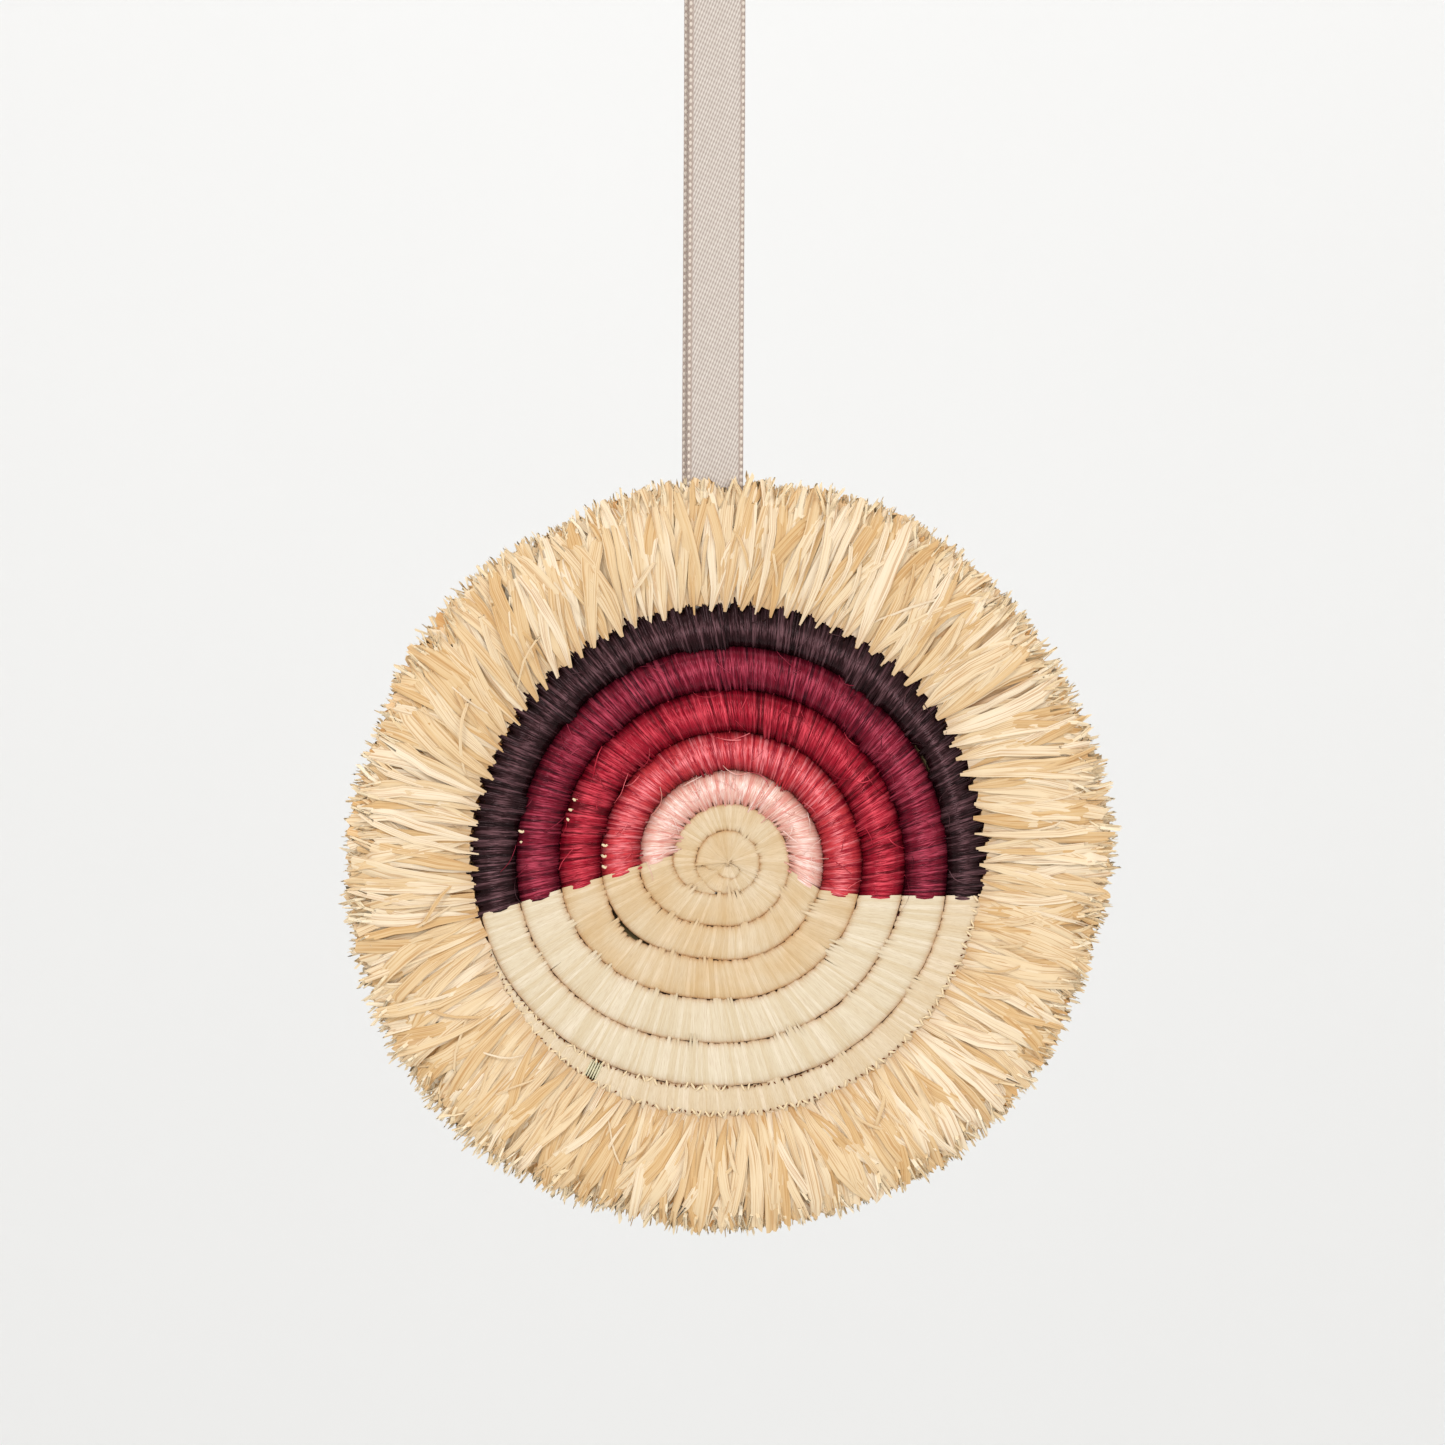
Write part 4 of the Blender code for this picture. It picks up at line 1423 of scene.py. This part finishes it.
def packed_blades(material):
    """Ring of blades packed side by side inside the fringe, seen between the loose ones."""
    dice = random.Random(5)
    # Outwards from the rim to near the tips, half the depth, and how much painted shade
    profile = (
        (0.0, 0.0008, 1.0), (0.3, 0.0022, 1.0), (0.6, 0.0029, 0.7), (0.85, 0.0032, 0.0), (1.0, 0.0026, 0.0),
    )
    profile += tuple((share, -half, shade) for share, half, shade in reversed(profile))
    columns = TUFTS * 6
    places, values = [], {"tone": [], "across": [], "along": [], "edge": []}
    for column in range(columns):
        angle = 2.0 * math.pi * column / columns
        degrees = math.degrees(angle)
        cut = 0.001 * station_value(CUTS, degrees)
        reach = PACKED_END - cut + dice.uniform(-PACKED_RAGGED, PACKED_RAGGED)
        swell = dice.uniform(0.8, 1.1)
        tone = dice.random()
        for share, half, shade in profile:
            radius = PACKED_START + (reach - PACKED_START) * share
            places.append(front_point(radius, angle, half * swell))
            for name, value in zip(values, (tone, column % 2 - 0.5, share, shade)):
                values[name].append(value)
    mesh = bpy.data.meshes.new("fringe_packed")
    mesh.from_pydata(places, [], ring_faces(columns, len(profile)))
    for name, column in values.items():
        put_attribute(mesh, name, column)
    mesh.materials.append(material)
    mesh.shade_smooth()
    return link(bpy.data.objects.new("fringe_packed", mesh))


def route_frames(route):
    """Each point of a route with the direction that its flat side faces."""
    frames = []
    for number, point in enumerate(route):
        before, after = route[max(number - 1, 0)], route[min(number + 1, len(route) - 1)]
        ahead = (after - before).normalized()
        frames.append((point, ahead.cross(Vector((1.0, 0.0, 0.0))).normalized()))
    return frames


class ORNAMENT_OT_ribbon(bpy.types.Operator):
    """Satin ribbon loop with looped selvedges, its ends sewn in behind the fringe's front"""

    bl_idname = "ornament.ribbon"
    bl_label = "Satin ribbon"

    def execute(self, context):
        sizes = context.scene.ornament_ribbon
        route = smooth_route(RIBBON_ROUTE, 6)
        columns = 12
        inside = RIBBON_WIDTH - 0.0001
        edge_thickness, flat_thickness = 0.55, 0.9  # as shares of the ribbon's
        bm = bmesh.new()
        weave = bm.loops.layers.uv.new("weave")
        rows = []
        run = 0.0
        for number, (point, facing) in enumerate(route_frames(route)):
            run += (point - route[max(number - 1, 0)]).length
            row = []
            for side in (1.0, -1.0):
                for column in range(columns + 1):
                    share = column / columns - 0.5
                    if side < 0.0:
                        share = -share
                    thick = edge_thickness if column in (0, columns) else flat_thickness
                    thick *= RIBBON_THICKNESS / 2.0
                    place = point + Vector((share * inside, 0.0, 0.0)) + facing * side * thick
                    row.append((bm.verts.new(place), (share * inside * 1000.0, run * 1000.0)))
            rows.append(row)
        for before, after in zip(rows, rows[1:]):
            for k in range(len(before)):
                far = (k + 1) % len(before)
                corners = (before[k], before[far], after[far], after[k])
                face = bm.faces.new([corner[0] for corner in corners])
                face.smooth = True
                for loop, corner in zip(face.loops, corners):
                    loop[weave].uv = corner[1]
        bm.faces.new([corner[0] for corner in rows[0]])
        bm.faces.new([corner[0] for corner in rows[-1]])
        bmesh.ops.recalc_face_normals(bm, faces=bm.faces[:])
        ribbon = solid_object("ribbon_satin", bm, satin_material())
        aside = Vector((RIBBON_WIDTH / 2.0 - 0.65 * sizes.bead_width, 0.0, 0.0))
        lines = [
            [{"place": point + sign * aside, "facing": facing} for point, facing in route_frames(route)]
            for sign in (-1.0, 1.0)
        ]
        guide = line_object("selvedge_guide", lines)
        yarn = plain_material("selvedge yarn, looped polyester", "#c6b8ab", "#e2d8cd", 0.4, 1500.0)
        values = {
            "Pitch": sizes.bead_pitch, "Width": sizes.bead_width, "Length": 0.82 * sizes.bead_pitch,
            "Thickness": 0.00052, "Tilt": 0.0, "Wander": 0.0, "Kept": 1.0, "Seed": 1, "Material": yarn,
        }
        beads = grow("ribbon_selvedges", guide, bead_tree(), values)
        remove_guides(guide)
        settle(ribbon, "satin_ribbon", "ribbon_loop")
        settle(beads, "satin_ribbon", "ribbon_loop")
        return {"FINISHED"}


class ORNAMENT_OT_stage(bpy.types.Operator):
    """Pale backdrop and floor, soft studio lights and the camera"""

    bl_idname = "ornament.stage"
    bl_label = "Studio"

    def execute(self, context):
        scene = context.scene
        paper = plain_material("backdrop paper, matt", "#f0f1f2", "#f3f4f5", 0.9, 4.0)
        bm = bmesh.new()
        front, floor, wall, top, bend, half, parts = -5.0, -0.95, 2.4, 2.6, 0.4, 5.0, 8
        profile = [(front, floor), (wall - bend, floor)]
        for number in range(1, parts + 1):
            turned = math.pi / 2.0 * number / parts
            profile.append((wall - bend + bend * math.sin(turned), floor + bend - bend * math.cos(turned)))
        profile.append((wall, top))
        lines = [[bm.verts.new((x, y, z)) for y, z in profile] for x in (-half, half)]
        for k in range(len(profile) - 1):
            face = bm.faces.new([lines[0][k], lines[1][k], lines[1][k + 1], lines[0][k + 1]])
            face.smooth = True
        solid_object("backdrop", bm, paper)
        world = bpy.data.worlds.new("studio")
        scene.world = world
        world.use_nodes = True
        background = world.node_tree.nodes["Background"]
        background.inputs["Color"].default_value = (1.0, 0.97, 0.92, 1.0)
        background.inputs["Strength"].default_value = 0.62
        aim = COIL_MIDDLE + Vector((0.0, 0.0, 0.03))
        for name, place, target, size, power in (
            ("key light", (-0.38, -0.85, 0.30), aim, 0.25, 2.8),
            ("fill light", (0.50, -0.80, 0.05), aim, 0.3, 1.5),
            ("front light", (0.0, -1.15, -0.15), aim, 0.35, 3.2),
            ("top light", (0.1, -0.25, 0.9), aim, 0.6, 1.2),
            ("back light", (0.30, 1.30, 0.45), aim, 0.4, 4.5),
            ("left light", (-1.20, 0.10, 0.40), aim, 0.4, 3.8),
            ("right light", (1.20, 0.10, 0.40), aim, 0.4, 3.8),
            ("backdrop light", (0.0, 1.2, 1.3), Vector((0.0, wall, -0.5)), 1.0, 11.7),
        ):
            data = bpy.data.lights.new(name, "AREA")
            data.size = size
            data.energy = power
            lamp = link(bpy.data.objects.new(name, data))
            lamp.location = place
            toward = target - lamp.location
            lamp.rotation_mode = "QUATERNION"
            lamp.rotation_quaternion = toward.to_track_quat("-Z", "Y")
        data = bpy.data.cameras.new("camera")
        data.sensor_width = SENSOR_WIDTH
        data.lens = SENSOR_WIDTH * CAMERA_DISTANCE / (PICTURE_PIXELS * PIXEL)
        camera = link(bpy.data.objects.new("camera", data))
        across = (DISC_PIXEL[0] - PICTURE_PIXELS / 2.0) * PIXEL
        down = (DISC_PIXEL[1] - PICTURE_PIXELS / 2.0) * PIXEL
        camera.location = COIL_MIDDLE + Vector((-across, -CAMERA_DISTANCE, down))
        camera.rotation_euler = (math.pi / 2.0, 0.0, 0.0)
        scene.camera = camera
        scene.view_settings.view_transform = "Standard"
        return {"FINISHED"}


OPERATORS = (
    ORNAMENT_OT_stage,
    ORNAMENT_OT_core,
    ORNAMENT_OT_natural,
    ORNAMENT_OT_dyed,
    ORNAMENT_OT_fringe,
    ORNAMENT_OT_ribbon,
)


class ORNAMENT_PT_panel(bpy.types.Panel):
    """Sizes, colours and the step for each piece"""

    bl_idname = "ORNAMENT_PT_panel"
    bl_label = "Basket ornament"
    bl_space_type = "VIEW_3D"
    bl_region_type = "UI"
    bl_category = "Ornament"

    def draw(self, context):
        for label, group in GROUPS.items():
            box = self.layout.box()
            for name in group.__annotations__:
                box.prop(getattr(context.scene, label), name)
        for operator in OPERATORS:
            self.layout.operator(operator.bl_idname)


def register():
    for group in (*GROUPS.values(), *OPERATORS, ORNAMENT_PT_panel):
        bpy.utils.register_class(group)
    for label, group in GROUPS.items():
        setattr(bpy.types.Scene, label, PointerProperty(type=group))


def unregister():
    for label in GROUPS:
        delattr(bpy.types.Scene, label)
    for group in (ORNAMENT_PT_panel, *reversed(OPERATORS), *GROUPS.values()):
        bpy.utils.unregister_class(group)


def main():
    register()
    bpy.ops.ornament.stage()
    bpy.ops.ornament.core()
    bpy.ops.ornament.natural()
    bpy.ops.ornament.dyed()
    bpy.ops.ornament.fringe()
    bpy.ops.ornament.ribbon()


if __name__ == "__main__":
    main()
